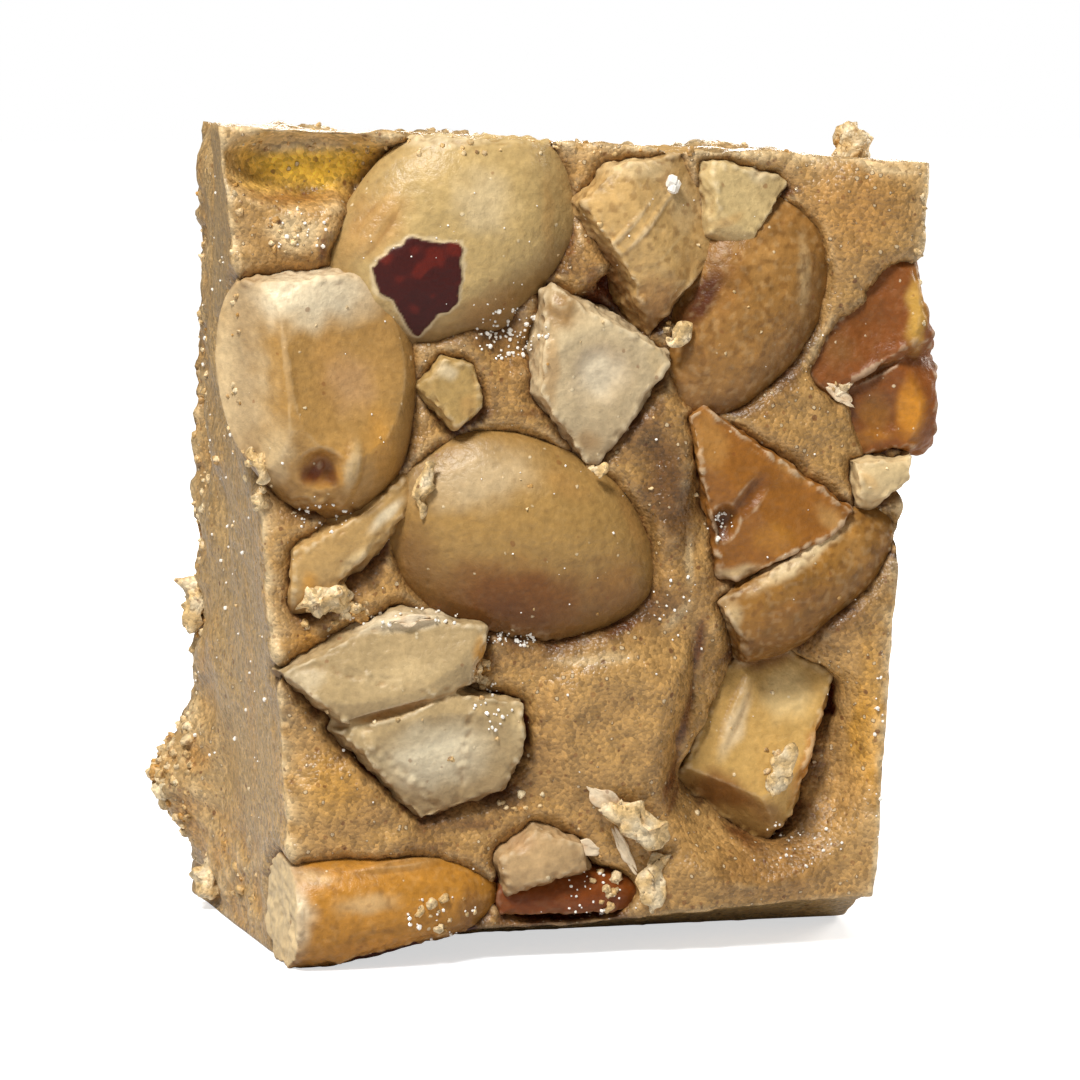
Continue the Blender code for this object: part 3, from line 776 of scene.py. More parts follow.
# The slot and the screen colour of each piece.
NUT_TONES = {
    "left_half": ("golden_peanut", (178, 137, 77)), "white_chip": ("white_peanut", (210, 188, 148)),
    "upper_chunk": ("golden_peanut", (200, 163, 104)), "upper_chip": ("pale_peanut", (206, 180, 127)),
    "big_half": ("pale_peanut", (167, 131, 74)), "triangle": ("brown_peanut", (148, 94, 34)),
    "skin_half": ("pale_peanut", (195, 166, 110)), "elongated_half": ("brown_peanut", (158, 114, 58)),
    "edge_lobes": ("brown_peanut", (130, 73, 28)), "curved_half": ("pale_peanut", (152, 107, 46)),
    "sunk_chunk": ("pale_peanut", (202, 163, 94)), "split_half": ("white_peanut", (180, 155, 112)),
    "bottom_half": ("golden_peanut", (190, 132, 50)), "small_chip": ("pale_peanut", (188, 156, 112)),
    "brown_strip": ("brown_peanut", (122, 60, 16)), "sliver": ("white_peanut", (186, 150, 94)),
    "crumb_chip": ("white_peanut", (178, 147, 91)), "edge_bit": ("pale_peanut", (216, 190, 142)),
}

# How pale the forward edges are, partly paler broken nut and partly painted highlight, and how
# mottled a piece is, where it isn't as most pieces are.
USUAL_RIM, USUAL_MOTTLE = 0.5, 0.06
RIMS = {"left_half": 0.25, "white_chip": 0.8, "triangle": 0.75, "curved_half": 0.7, "edge_lobes": 0.6,
        "split_half": 0.8, "skin_half": 0.15, "big_half": 0.25, "elongated_half": 0.3, "brown_strip": 0.2}
MOTTLES = {"split_half": 0.02, "white_chip": 0.03, "sunk_chunk": 0.03, "elongated_half": 0.24,
           "curved_half": 0.26, "upper_chunk": 0.2, "bottom_half": 0.14}

# %% Ovals of colour on the peanuts
# Each oval: centre x and z, half length, half width, turn, tone and strength. Some ovals are
# painted light and shade, as the comment at each piece says.
NUT_DABS = {
    "left_half": (
        # Painted highlight: the cream top edge, and the straw arc on the ridge beside the pit.
        (-13.0, 32.4, 4.8, 2.2, 4, CREAM, 0.9), (-16.4, 28.2, 1.9, 6.0, 3, linear(220, 193, 148), 0.9),
        (-12.2, 29.0, 1.2, 3.0, 6, HONEY, 0.4), (-11.2, 28.2, 1.5, 2.0, 8, ROSE, 0.6),
        (-9.7, 25.2, 1.2, 2.8, 10, AMBER, 0.5), (-15.0, 24.4, 1.1, 2.8, -15, PALE, 0.7),
        (-12.6, 24.2, 1.5, 1.35, 0, AMBER, 0.8), (-12.8, 24.2, 1.1, 1.1, 20, linear(96, 40, 10), 0.95),
        (-12.2, 23.9, 0.4, 0.8, 20, DARK, 0.8), (-13.4, 23.9, 0.3, 0.6, -10, DARK, 0.6),
        (-11.2, 24.3, 0.5, 1.7, -8, STRAW, 0.5), (-12.7, 22.2, 1.9, 0.5, 10, AMBER, 0.5),),
    "skin_half": (
        # Painted highlight: the faint cream oval high on the right. Painted shade: the honey oval low on
        # the right.
        (-10.0, 35.5, 1.6, 2.9, -40, HONEY, 0.7), (-4.9, 36.7, 2.2, 2.2, 0, CREAM, 0.3),
        (-4.4, 31.6, 2.6, 1.3, 25, HONEY, 0.6), (-1.6, 35.8, 0.5, 2.9, 0, GOLD, 0.45),
        (-6.9, 39.5, 3.2, 0.5, 0, CREAM, 0.4),),
    "big_half": (
        # Painted highlight: the cream top left. Painted shade: the dark brown and dark ovals along the
        # lower part, and the brown oval low on the right.
        (-5.3, 23.6, 4.2, 2.0, 8, CREAM, 0.32), (-3.2, 17.8, 6.0, 2.6, -8, linear(116, 66, 18), 0.92),
        (-4.0, 16.7, 4.8, 1.5, -8, DARK, 0.6), (1.7, 18.2, 2.0, 2.2, 0, BROWN, 0.6),
        (-8.2, 19.9, 1.4, 2.4, 0, UMBER, 0.6), (2.5, 21.3, 0.6, 2.6, 20, HONEY, 0.6),
        (-0.9, 23.2, 1.8, 0.8, -30, HONEY, 0.4), (0.6, 19.6, 1.1, 0.3, 10, UMBER, 0.4),),
    "upper_chunk": (
        # Painted light: the straw top and top right. Painted shade: the darker lower tip, and the dark
        # brown band along the lower left edge.
        (2.7, 38.2, 2.7, 0.9, 0, STRAW, 0.7), (5.1, 36.4, 1.6, 1.6, 0, STRAW, 0.6),
        (3.4, 35.7, 2.8, 0.12, 48, CREAM, 0.3), (2.4, 35.6, 2.6, 0.1, 50, CREAM, 0.25),
        (1.7, 34.9, 1.6, 0.1, 44, STRAW, 0.35), (4.3, 34.4, 1.6, 0.1, 42, STRAW, 0.35),
        (3.8, 31.6, 1.6, 1.9, 0, linear(172, 122, 66), 0.7), (4.9, 33.4, 1.4, 1.0, 50, UMBER, 0.4),
        (1.5, 33.4, 2.8, 0.5, -60, linear(96, 44, 14), 0.75), (5.8, 31.8, 0.3, 2.0, -40, BROWN, 0.6),),
    "upper_chip": (
        (8.9, 38.0, 0.9, 0.9, 0, CREAM, 0.4), (7.2, 35.7, 1.1, 0.4, 20, GOLD, 0.5),),
    "elongated_half": (
        # Painted light: the straw right edge. Painted shade: the umber lower left, and the dark maroon band
        # in the crevice beside the upper chunk.
        (11.0, 33.0, 0.5, 3.0, 0, STRAW, 0.4), (5.6, 29.1, 1.4, 1.4, 0, UMBER, 0.6),
        (7.2, 32.4, 0.9, 2.2, -25, BROWN, 0.45), (5.9, 31.9, 2.9, 0.8, 56, linear(74, 26, 8), 0.9),
        (9.0, 27.7, 1.4, 0.6, 20, HONEY, 0.5), (8.9, 33.6, 1.2, 1.4, 0, HONEY, 0.5),),
    "edge_lobes": (
        # The bright golden right edges are partly the lobes' colour and partly painted glow of light
        # through the thin edges. The dark line in the groove between the lobes is painted shade.
        (13.4, 31.6, 2.5, 0.35, 52, STRAW, 0.8), (16.6, 31.2, 0.7, 2.6, 0, linear(208, 164, 76), 0.8),
        (13.0, 29.3, 1.2, 1.2, 0, UMBER, 0.5), (16.4, 26.4, 1.0, 2.3, 0, ORANGE, 0.8),
        (14.6, 26.2, 1.1, 1.4, 0, OCHRE, 0.25), (14.5, 25.0, 1.7, 0.6, 10, ORANGE, 0.4),
        (14.6, 28.2, 2.0, 0.2, 28, DARK, 0.7),),
    "edge_bit": (
        (14.2, 23.0, 0.9, 0.4, -40, GOLD, 0.5),),
    "white_chip": (
        (-1.0, 31.6, 1.4, 1.5, -30, linear(148, 108, 54), 0.8), (-1.6, 28.6, 0.6, 2.9, 0, HONEY, 0.5),
        (0.8, 28.4, 2.1, 2.3, -20, HONEY, 0.35), (0.8, 28.4, 1.8, 2.0, -20, linear(236, 220, 188), 0.9),
        (0.4, 25.2, 0.9, 0.8, 0, HONEY, 0.5), (3.5, 29.2, 0.7, 1.1, 0, STRAW, 0.6),),
    "triangle": (
        # Painted shadow: the dark oval along the crease above the germ pit.
        (6.3, 25.2, 1.4, 2.2, 0, linear(182, 132, 68), 0.7), (7.1, 21.1, 0.8, 1.1, -15, SKIN, 0.95),
        (8.3, 22.3, 0.7, 1.8, -38, DARK, 0.6), (7.7, 18.6, 1.9, 0.6, 12, STRAW, 0.75),
        (12.3, 21.3, 1.2, 0.7, -35, GOLD, 0.6), (5.2, 23.5, 0.3, 2.6, 4, HONEY, 0.6),
        (10.5, 23.6, 1.6, 0.5, -38, HONEY, 0.5), (9.6, 20.4, 1.5, 1.2, 0, AMBER, 0.35),),
    "curved_half": (
        # Painted light: the pale upper edge. Painted shade: the brown band below it.
        (10.9, 19.4, 3.9, 0.6, 33, PALE, 0.95), (7.4, 16.5, 0.8, 1.3, 0, STRAW, 0.7),
        (13.5, 19.6, 1.1, 1.1, 30, HONEY, 0.5), (10.4, 17.0, 2.6, 0.6, 30, BROWN, 0.5),),
    "sunk_chunk": (
        # Painted highlight: the light oval on the top. Painted shade: the brown right flank and the dark
        # lower end. Painted shadow: the dark top end under the curved half.
        (8.2, 11.0, 0.7, 2.6, -25, CREAM, 0.5), (10.8, 12.3, 1.6, 1.9, -20, linear(244, 214, 152), 0.75),
        (12.0, 9.6, 0.8, 3.6, -22, linear(176, 112, 40), 0.85),
        (9.6, 14.2, 2.6, 0.8, 5, linear(112, 66, 26), 0.8),
        (7.6, 7.6, 2.6, 1.3, -24, linear(120, 70, 24), 0.9), (9.6, 6.6, 1.6, 0.8, -40, DARK, 0.6),),
    "split_half": (
        (-8.7, 16.8, 3.9, 0.6, 6, CREAM, 0.8), (-9.7, 12.4, 3.7, 0.25, 16, HONEY, 0.8),
        (-5.0, 14.9, 0.6, 1.4, 0, AMBER, 0.8), (-13.3, 14.2, 1.1, 0.9, 0, CREAM, 0.4),
        (-11.0, 11.8, 1.7, 0.5, -38, STRAW, 0.5), (-7.1, 10.3, 3.4, 2.2, 6, linear(240, 226, 192), 0.9),
        (-3.3, 11.9, 0.4, 1.7, 0, STRAW, 0.6), (-8.4, 7.8, 1.7, 0.4, -20, STRAW, 0.5),
        (-8.9, 14.3, 3.0, 0.9, 12, STRAW, 0.4),),
    "bottom_half": (
        (-8.7, 5.0, 3.4, 0.5, 4, HONEY, 0.7), (-14.6, 2.8, 1.9, 3.6, 0, CREAM, 1.0),
        (-9.7, 1.3, 3.4, 0.6, 6, ORANGE, 0.5), (-5.4, 2.9, 0.6, 1.4, 0, BROWN, 0.5),
        (-10.6, 3.4, 2.2, 0.7, 4, PALE, 0.45), (-12.9, 4.6, 1.1, 0.5, 0, PALE, 0.5),),
    "small_chip": (
        (-2.2, 3.7, 2.0, 0.3, 8, BROWN, 0.6), (-2.9, 5.9, 1.1, 0.6, 0, ROSE, 0.5),),
    "sliver": (
        (-9.4, 21.9, 1.6, 0.45, 42, CREAM, 0.75), (-10.9, 19.9, 1.3, 0.5, 42, STRAW, 0.7),
        (-13.1, 18.6, 0.6, 0.9, 0, AMBER, 0.7),),
    "crumb_chip": (
        (-6.5, 28.6, 0.7, 0.6, 0, CREAM, 0.5), (-5.5, 27.0, 0.6, 0.6, 0, GOLD, 0.5),),
}

# The outline of the skin that is left on one half, as points x, z on the face.
SKIN_PATCH = [
    (-10.1, 33.6), (-9.2, 34.5), (-8.3, 35.0), (-7.1, 34.8), (-6.0, 34.8), (-5.9, 33.4), (-6.1, 31.9),
    (-6.4, 31.5), (-7.0, 31.4), (-7.4, 30.7), (-7.7, 30.3), (-8.3, 30.7), (-8.8, 31.5), (-9.1, 32.0),
    (-9.8, 32.4)]
SKIN_THICKNESS = 0.09


def outline_depth(points, outline):
    """How deep each point lies inside an outline on the face, in mm, and below 0 outside it."""
    flat = points[:, (0, 2)]
    nearest = np.full(len(flat), np.inf)
    within = np.zeros(len(flat), bool)
    for start, end in zip(outline, outline[1:] + outline[:1]):
        start, run = np.array(start), np.array(end) - np.array(start)
        share = np.clip((flat - start) @ run / (run @ run), 0.0, 1.0)
        nearest = np.minimum(nearest, np.linalg.norm(flat - start - share[:, None] * run, axis=1))
        crosses = (flat[:, 1] >= start[1]) != (flat[:, 1] >= start[1] + run[1])
        at = start[0] + run[0] * (flat[:, 1] - start[1]) / (run[1] if run[1] else 1.0)
        within ^= crosses & (flat[:, 0] < at)
    return np.where(within, nearest, -nearest)


# %% How the colours of a peanut are laid
# The painted brown shade where a peanut goes down into the fudge ends near the knife cuts, where
# nothing covers it: from full to none, in x at the left, in x at the right and in z at the top.
LEFT_CUT, RIGHT_CUT, TOP_CUT = (-16.0, -17.0), (15.6, 16.6), (39.0, 39.8)
# The band in which the dome of a peanut goes from open to covered is this deep at least, in mm.
CONTACT_DEPTH = 1.2
WIDEST_WOBBLE = 1.2


def add_ovals(colours, points, dabs):
    """Paints ovals one over the other, each with an uneven rim."""
    wobble = 0.35 * sideways_noise(points, 0.9, 31.0, 37.0)
    for x, z, half_x, half_z, turn, tone, strength in dabs:
        shifted = points + wobble * min(half_x, half_z, WIDEST_WOBBLE)
        colours = blend_towards(colours, tone, strength * oval(shifted, x, z, half_x, half_z, turn, 0.25))
    return colours


def painted_contact_shade(points, normals):
    """Painted shade, up to 1 where a peanut goes down into the fudge, most on its lower side, but 0 at
    knife cuts.
    """
    front = points[:, 1].min()
    contact = max(FACE_Y, front + CONTACT_DEPTH)
    shade = ramp(0.7 * front + 0.3 * contact, contact, points[:, 1])
    shade *= 0.4 + 0.6 * ramp(-0.3, 0.7, -normals[:, 2])
    for axis, (full, none) in ((0, LEFT_CUT), (0, RIGHT_CUT), (2, TOP_CUT)):
        shade *= ramp(none, full, points[:, axis])
    return shade


def mottle_nut(colours, points, mottle):
    """Brown and pale spots, and a faint unevenness of the tone."""
    colours = blend_towards(colours, 0.6 * BROWN, 2.0 * mottle * patches(points, 0.36, 13.0, 0.15, 0.4))
    colours = blend_towards(colours, PALE, 0.5 * mottle * patches(points, 0.3, 23.0, 0.1, 0.4))
    return colours * (1.0 + waves(points, (mottle, 0.6, 5.0), (0.12, 0.27, 9.0)))[:, None]


def lay_skin(nut, colours, points, normals):
    """Lays the patch of skin on its half. Gives the colours, and 1 where the skin lies."""
    ragged = points + 0.16 * np.stack([noise_at(points, 0.45, seed) for seed in (1.0, 2.0, 3.0)], axis=1)
    depth = outline_depth(ragged, SKIN_PATCH)
    skin = ramp(-0.06, 0.06, depth)
    colours = blend_towards(colours, CREAM, 0.4 * ramp(-0.22, -0.08, depth))
    colours = blend_towards(colours, SKIN, skin)
    colours = blend_towards(colours, RED_SKIN, 0.55 * skin * patches(points, 0.8, 8.0, 0.15, 0.5))
    write_points(nut, points + normals * (SKIN_THICKNESS * skin)[:, None])
    return colours, skin


# %% Colour the peanuts
for name, (slot, screen_tone) in NUT_TONES.items():
    nut, tone = nuts[name], linear(*screen_tone)
    points, normals = read_points(nut), read_normals(nut)
    edges, creases = edges_and_creases(nut)
    rough = broken_of[name]
    colours = add_ovals(np.tile(tone, (len(points), 1)), points, NUT_DABS.get(name, ()))
    # Pale forward edges: partly paler broken nut and partly painted highlight.
    pale_rim_and_highlight = RIMS.get(name, USUAL_RIM) * ramp(0.0, 0.5, -normals[:, 1]) * edges
    pale_rim_and_highlight *= 0.6 + 0.4 * patches(points, 0.8, 3.0, -0.4, 0.3)
    colours = blend_towards(colours, 0.45 * tone + 0.55 * CREAM, pale_rim_and_highlight)
    # Painted shade in the creases, and on the undersides, which face away from the light above.
    colours = blend_towards(colours, BROWN, 0.3 * creases)
    colours = blend_towards(colours, BROWN, 0.4 * ramp(0.1, 0.9, -normals[:, 2]))
    # Painted shade where the peanut goes down into the fudge.
    colours = blend_towards(colours, 0.5 * BROWN, 0.6 * painted_contact_shade(points, normals))
    colours = mottle_nut(colours, points, MOTTLES.get(name, USUAL_MOTTLE))
    if name == "bottom_half":
        knife_cut = ramp(0.5, 0.8, -normals[:, 0]) * ramp(-13.4, -13.9, points[:, 0])
        colours = blend_towards(colours, PALE, 0.85 * knife_cut)
    if name == "skin_half":
        colours, skin = lay_skin(nut, colours, points, normals)
        rough = np.maximum(rough, 1.6 * skin)
    paint(nut, colours, broken=rough)
    finish_piece(nut, nut_finish)
    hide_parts("peanut_" + name)

# %% [markdown]
# ## The block of fudge
# The slab was poured, left to set and cut with a knife. So one wide face has flowed round the nuts,
# and the four cut sides are smooth near it and crumbly towards the base of the slab. A cube primitive
# cut into a fine grid can take all of that: each point is first set on the plain block, then moved
# along the side that it lies on.

# %% A fine grid on a cube
# Each axis is cut in one or two rounds: every edge first, and then every part of it again.
BLOCK_CUTS = ((12, 12), (41,), (13, 13))


def slice_along(piece, axis, cuts):
    """Cuts every edge that runs along an axis into equal parts."""
    bpy.ops.object.mode_set(mode="EDIT")
    bpy.context.tool_settings.mesh_select_mode = (False, True, False)
    bpy.ops.mesh.select_all(action="DESELECT")
    grid = bmesh.from_edit_mesh(piece.data)
    for edge in grid.edges:
        run = edge.verts[0].co - edge.verts[1].co
        edge.select = abs(run[axis]) > 0.5 * run.length
    bmesh.update_edit_mesh(piece.data)
    bpy.ops.mesh.subdivide(number_cuts=cuts)
    bpy.ops.object.mode_set(mode="OBJECT")


start_primitive()
bpy.ops.mesh.primitive_cube_add(size=1.0)
fudge = bpy.context.object
fudge.name = "fudge"
for axis, rounds in enumerate(BLOCK_CUTS):
    for cuts in rounds:
        slice_along(fudge, axis, cuts)
print("fudge grid:", len(fudge.data.polygons), "faces")

# %% The plain block
HEIGHT, THICKNESS, TOP_DROP = 39.3, 19.5, 0.9
EDGE_WEAR, CORNER_WEAR, WORN_SHARE = 1.6, 0.8, 0.38
# Finer rows towards the face than towards the back.
ROW_SPREAD = 1.15
# The upright edges: x at the foot, how far it leans by the top, and the power of its curve.
LEFT_FRONT, LEFT_BACK = (-13.9, -3.3, 1.4), (-16.6, 1.1, 4.0)
RIGHT_FRONT, RIGHT_BACK = (14.8, 2.5, 1.0), (15.6, 1.1, 1.0)

cube = read_rows(fudge.data.vertices, "co")
across, back, up = 2.0 * cube[:, 0], (cube[:, 1] + 0.5) ** ROW_SPREAD, cube[:, 2] + 0.5
left, right = (
    (front[0] + front[1] * up ** front[2]) * (1.0 - back) + (rear[0] + rear[1] * up ** rear[2]) * back
    for front, rear in ((LEFT_FRONT, LEFT_BACK), (RIGHT_FRONT, RIGHT_BACK)))
wear = EDGE_WEAR * ramp(-0.95, -0.3, across) + CORNER_WEAR * ramp(-0.2, 1.0, across)
base = wear * (1.0 - ramp(0.0, WORN_SHARE, back))
top = HEIGHT - TOP_DROP * across
plain = np.stack((
    left + (right - left) * (across + 1.0) / 2.0,
    FACE_Y + THICKNESS * back,
    base + (top - base) * up), axis=1)
on_front, on_back = back < 0.0001, back > 0.9999
on_left, on_right = across < -0.9999, across > 0.9999
on_top, on_base = up > 0.9999, up < 0.0001
columns = math.prod(cuts + 1 for cuts in BLOCK_CUTS[0])
print("widest grid step:", round(float((right - left).max()) / columns, 3), "mm")

# %% [markdown]
# ## Swells and hollows of the poured face
# The fudge stood up in tongues and ridges between the nuts and sank where one fell out. The named
# places are those of the solid, so the dressed block keeps its form. Only the two narrow seams by
# the tongue are added here, and finer waves come on top.

# %% Relief
# Each place: x and z, half sizes, how far it stands forward, and the share of it that is level.
FACE_SWELLS = {
    "tongue under the big half": (2.2, 11.6, 4.9, 4.4, 1.1, 0.5),
    "ridge beside the big half": (5.0, 20.6, 1.5, 5.2, 0.6, 0.3),
    "plain upper right corner": (13.6, 35.9, 3.4, 3.2, 0.6, 0.4),
    "rim right of the sunk chunk": (14.5, 9.5, 1.3, 7.5, 0.4, 0.3),
    "rim under the sunk chunk": (8.4, 4.0, 4.4, 1.5, 0.6, 0.4),
    "plain right middle": (10.4, 26.2, 2.6, 2.0, 0.3, 0.4),
    "plain lower left": (-11.8, 8.4, 2.6, 2.2, 0.4, 0.4),
    "imprint of a lost peanut": (-12.6, 38.3, 4.3, 1.8, -2.0, 0.6),
    "seam right of the tongue": (5.9, 14.0, 0.35, 2.6, -0.45, 0.2),
    "foot of that seam": (5.0, 10.0, 0.35, 2.0, -0.45, 0.2),
    "ledge under the imprint": (-13.2, 35.2, 2.6, 1.1, 0.3, 0.4),
    "hollow above the white chip": (1.9, 31.6, 1.9, 1.7, -1.4, 0.3),
    "hollow under the skin half": (-3.2, 29.8, 2.0, 1.4, -0.7, 0.3),
    "recess of the sunk chunk": (9.3, 9.9, 4.9, 5.8, -1.9, 0.72),
    "hollow left of the triangle": (5.7, 21.0, 0.8, 2.6, -0.6, 0.3),
    "hollow round the small chip": (-0.4, 3.4, 3.6, 1.5, -0.8, 0.4),
}
SWELL_REACH = 1.2
BULGE_CENTRE, BULGE_RADIUS, BULGE = np.array((-16.0, 8.2, 6.6)), 5.2, 2.5


def face_relief(points):
    """How far the poured face stands forward at each point."""
    flat_x, flat_z = points[:, 0], points[:, 2]
    rise = np.zeros(len(points))
    for height, lump, level in ((0.55, 7.0, 3.1), (0.22, 2.9, 8.4)):
        on_level = np.stack((flat_x, np.full(len(points), level * lump), flat_z), axis=1)
        rise += height * noise_at(on_level, lump)
    for x, z, half_x, half_z, swell, level_share in FACE_SWELLS.values():
        distance = np.hypot((flat_x - x) / half_x, (flat_z - z) / half_z)
        rise += swell * (1.0 - ramp(level_share, SWELL_REACH, distance))
    return rise


def crumble(points, back_share):
    """How far a cut side stands out, rougher towards the base of the slab."""
    broad = noise_at(points, 5.0)
    crags = 0.75 * (0.7 * broad + 0.8 * noise_at(points, 2.9) - 0.25)
    return 0.12 * broad + crags * ramp(0.25, 0.7, back_share)


moved = plain.copy()
relief, crags = face_relief(plain), crumble(plain, back)
bulge = BULGE * (1.0 - ramp(0.1, 1.0, np.linalg.norm(plain - BULGE_CENTRE, axis=1) / BULGE_RADIUS))
for side, axis, outward in (
        (on_left, 0, -(crags + bulge)), (on_right, 0, crags), (on_top, 2, crags),
        (on_back, 1, crags), (on_front, 1, -relief)):
    moving = side & ~on_base
    moved[moving, axis] += outward[moving]
write_points(fudge, moved)
apply_modifier(fudge, "SMOOTH", factor=0.5, iterations=4)
print("relief from", round(relief.min(), 2), "to", round(relief.max(), 2), "mm")

# %% [markdown]
# ## Fine relief, and the fudge at the nuts
# Knife drag leaves faint upright lines near the face, and the sugary part tears into crumbs further
# back. Round each nut the fudge dips into a narrow crevice and swells a little just outside it. The
# distance to the nearest nut gives both.

# %% Fine relief
LEVEL_FOOT = 0.25
points, normals = read_points(fudge), read_normals(fudge)
face_share = np.where(on_front, 1.0, 0.0)

# How torn each side is: more towards the back, and on the left also at the bulge and at the foot.
smooth_reach = np.where(on_left, 0.36, 0.0)
torn_share = ramp(0.3, 0.62, back - smooth_reach + 0.08 * noise_at(points, 3.0, 5.0))
torn_share = np.maximum(torn_share, np.where(on_left, ramp(0.15, 0.8, bulge), 0.0))
foot = ramp(6.5, 4.0, points[:, 2] + 1.5 * noise_at(points, 2.0, 6.0)) * ramp(0.15, 0.4, back)
torn_share = np.maximum(torn_share, np.where(on_left, 0.7 * foot, 0.0))
torn_share = np.where(on_front, 0.0, torn_share)

torn = waves(points, (0.3, 1.5, 3.0), (0.24, 0.75, 7.0), (0.14, 0.45, 8.0)) - 0.1
drag = waves(points, (0.035, (0.6, 0.55, 9.0), 2.0))
flow = waves(points, (0.09, 1.3, 9.0), (0.05, 0.55, 4.0))
lift = torn_share * torn + (1.0 - torn_share) * ((1.0 - face_share) * drag + flow)
lift = np.where(points[:, 2] < LEVEL_FOOT, 0.0, lift)
points = points + normals * lift[:, None]
print("torn part:", round(float(torn_share.mean()), 2))

# %% The fudge at the nuts
CREVICE_DEPTH, CREVICE_WIDTH = 0.4, 0.3
SWELL_AT, SWELL_WIDTH, SWELL_HEIGHT = 0.85, 0.45, 0.2
# How far to look round a point and above it for a nut. A point counts as covered when the nut's
# surface lies above it, or less than this below it.
LOOK_ROUND, LOOK_ABOVE, UNDER_NUT = 3.0, 6.0, 0.3

nut_tree = tree_of(nuts.values())
near = np.full(len(points), LOOK_ROUND)
above = np.full(len(points), -LOOK_ABOVE)
lee = np.zeros(len(points))
for index, (point, normal) in enumerate(zip(points.tolist(), normals.tolist())):
    point, normal = Vector(point), Vector(normal)
    nearest, _, _, distance = nut_tree.find_nearest(point, LOOK_ROUND)
    if nearest is None:
        continue
    near[index] = distance
    away = point - nearest
    lee[index] = (0.4 * away.x - away.z) / max(distance, 0.05)
    hit, _, _, run = nut_tree.ray_cast(point + normal * LOOK_ABOVE, -normal, LOOK_ABOVE + 1.0)
    if hit is not None:
        above[index] = LOOK_ABOVE - run
covered = above > -UNDER_NUT
uneven_rim = 0.25 + 0.75 * patches(points, 2.2, 11.0, -0.5, 0.4)
uneven_rim *= 0.35 + 0.65 * ramp(-0.6, 0.6, lee)
dip = CREVICE_DEPTH * np.exp(-(near / CREVICE_WIDTH) ** 2) * uneven_rim
swell = SWELL_HEIGHT * np.exp(-((near - SWELL_AT) / SWELL_WIDTH) ** 2) * (1.2 - uneven_rim)
push = np.where(covered, -(CREVICE_DEPTH + 0.1) + np.minimum(above, 0.0), swell - dip)
push = average_near(np.where(on_base, 0.0, push), read_edges(fudge), 2)
write_points(fudge, points + normals * push[:, None])
print("points under nuts:", int(covered.sum()), "of", len(points))

# %% [markdown]
# ## Fudge colours
# The face is tan and golden where it is thin. Painted shade makes it deep brown in the crevices and
# under the nuts, and painted shadow does so on the lee side of the nuts. The cut sides are paler and
# greyer, the left one painted lighter near its foot as painted light, and the torn part mixes pale
# crumbs with golden pits.

# %% Ovals of colour on the fudge
# A painted shadow tone.
SHADE = linear(92, 60, 28)
SIDE_TAN = linear(172, 142, 96)
PALE_CRUMB = linear(228, 204, 160)
PIT = linear(168, 124, 68)
# A painted shade tone, for crevices, creases and shadow under the nuts.
CREVICE_SHADE = linear(62, 20, 3)

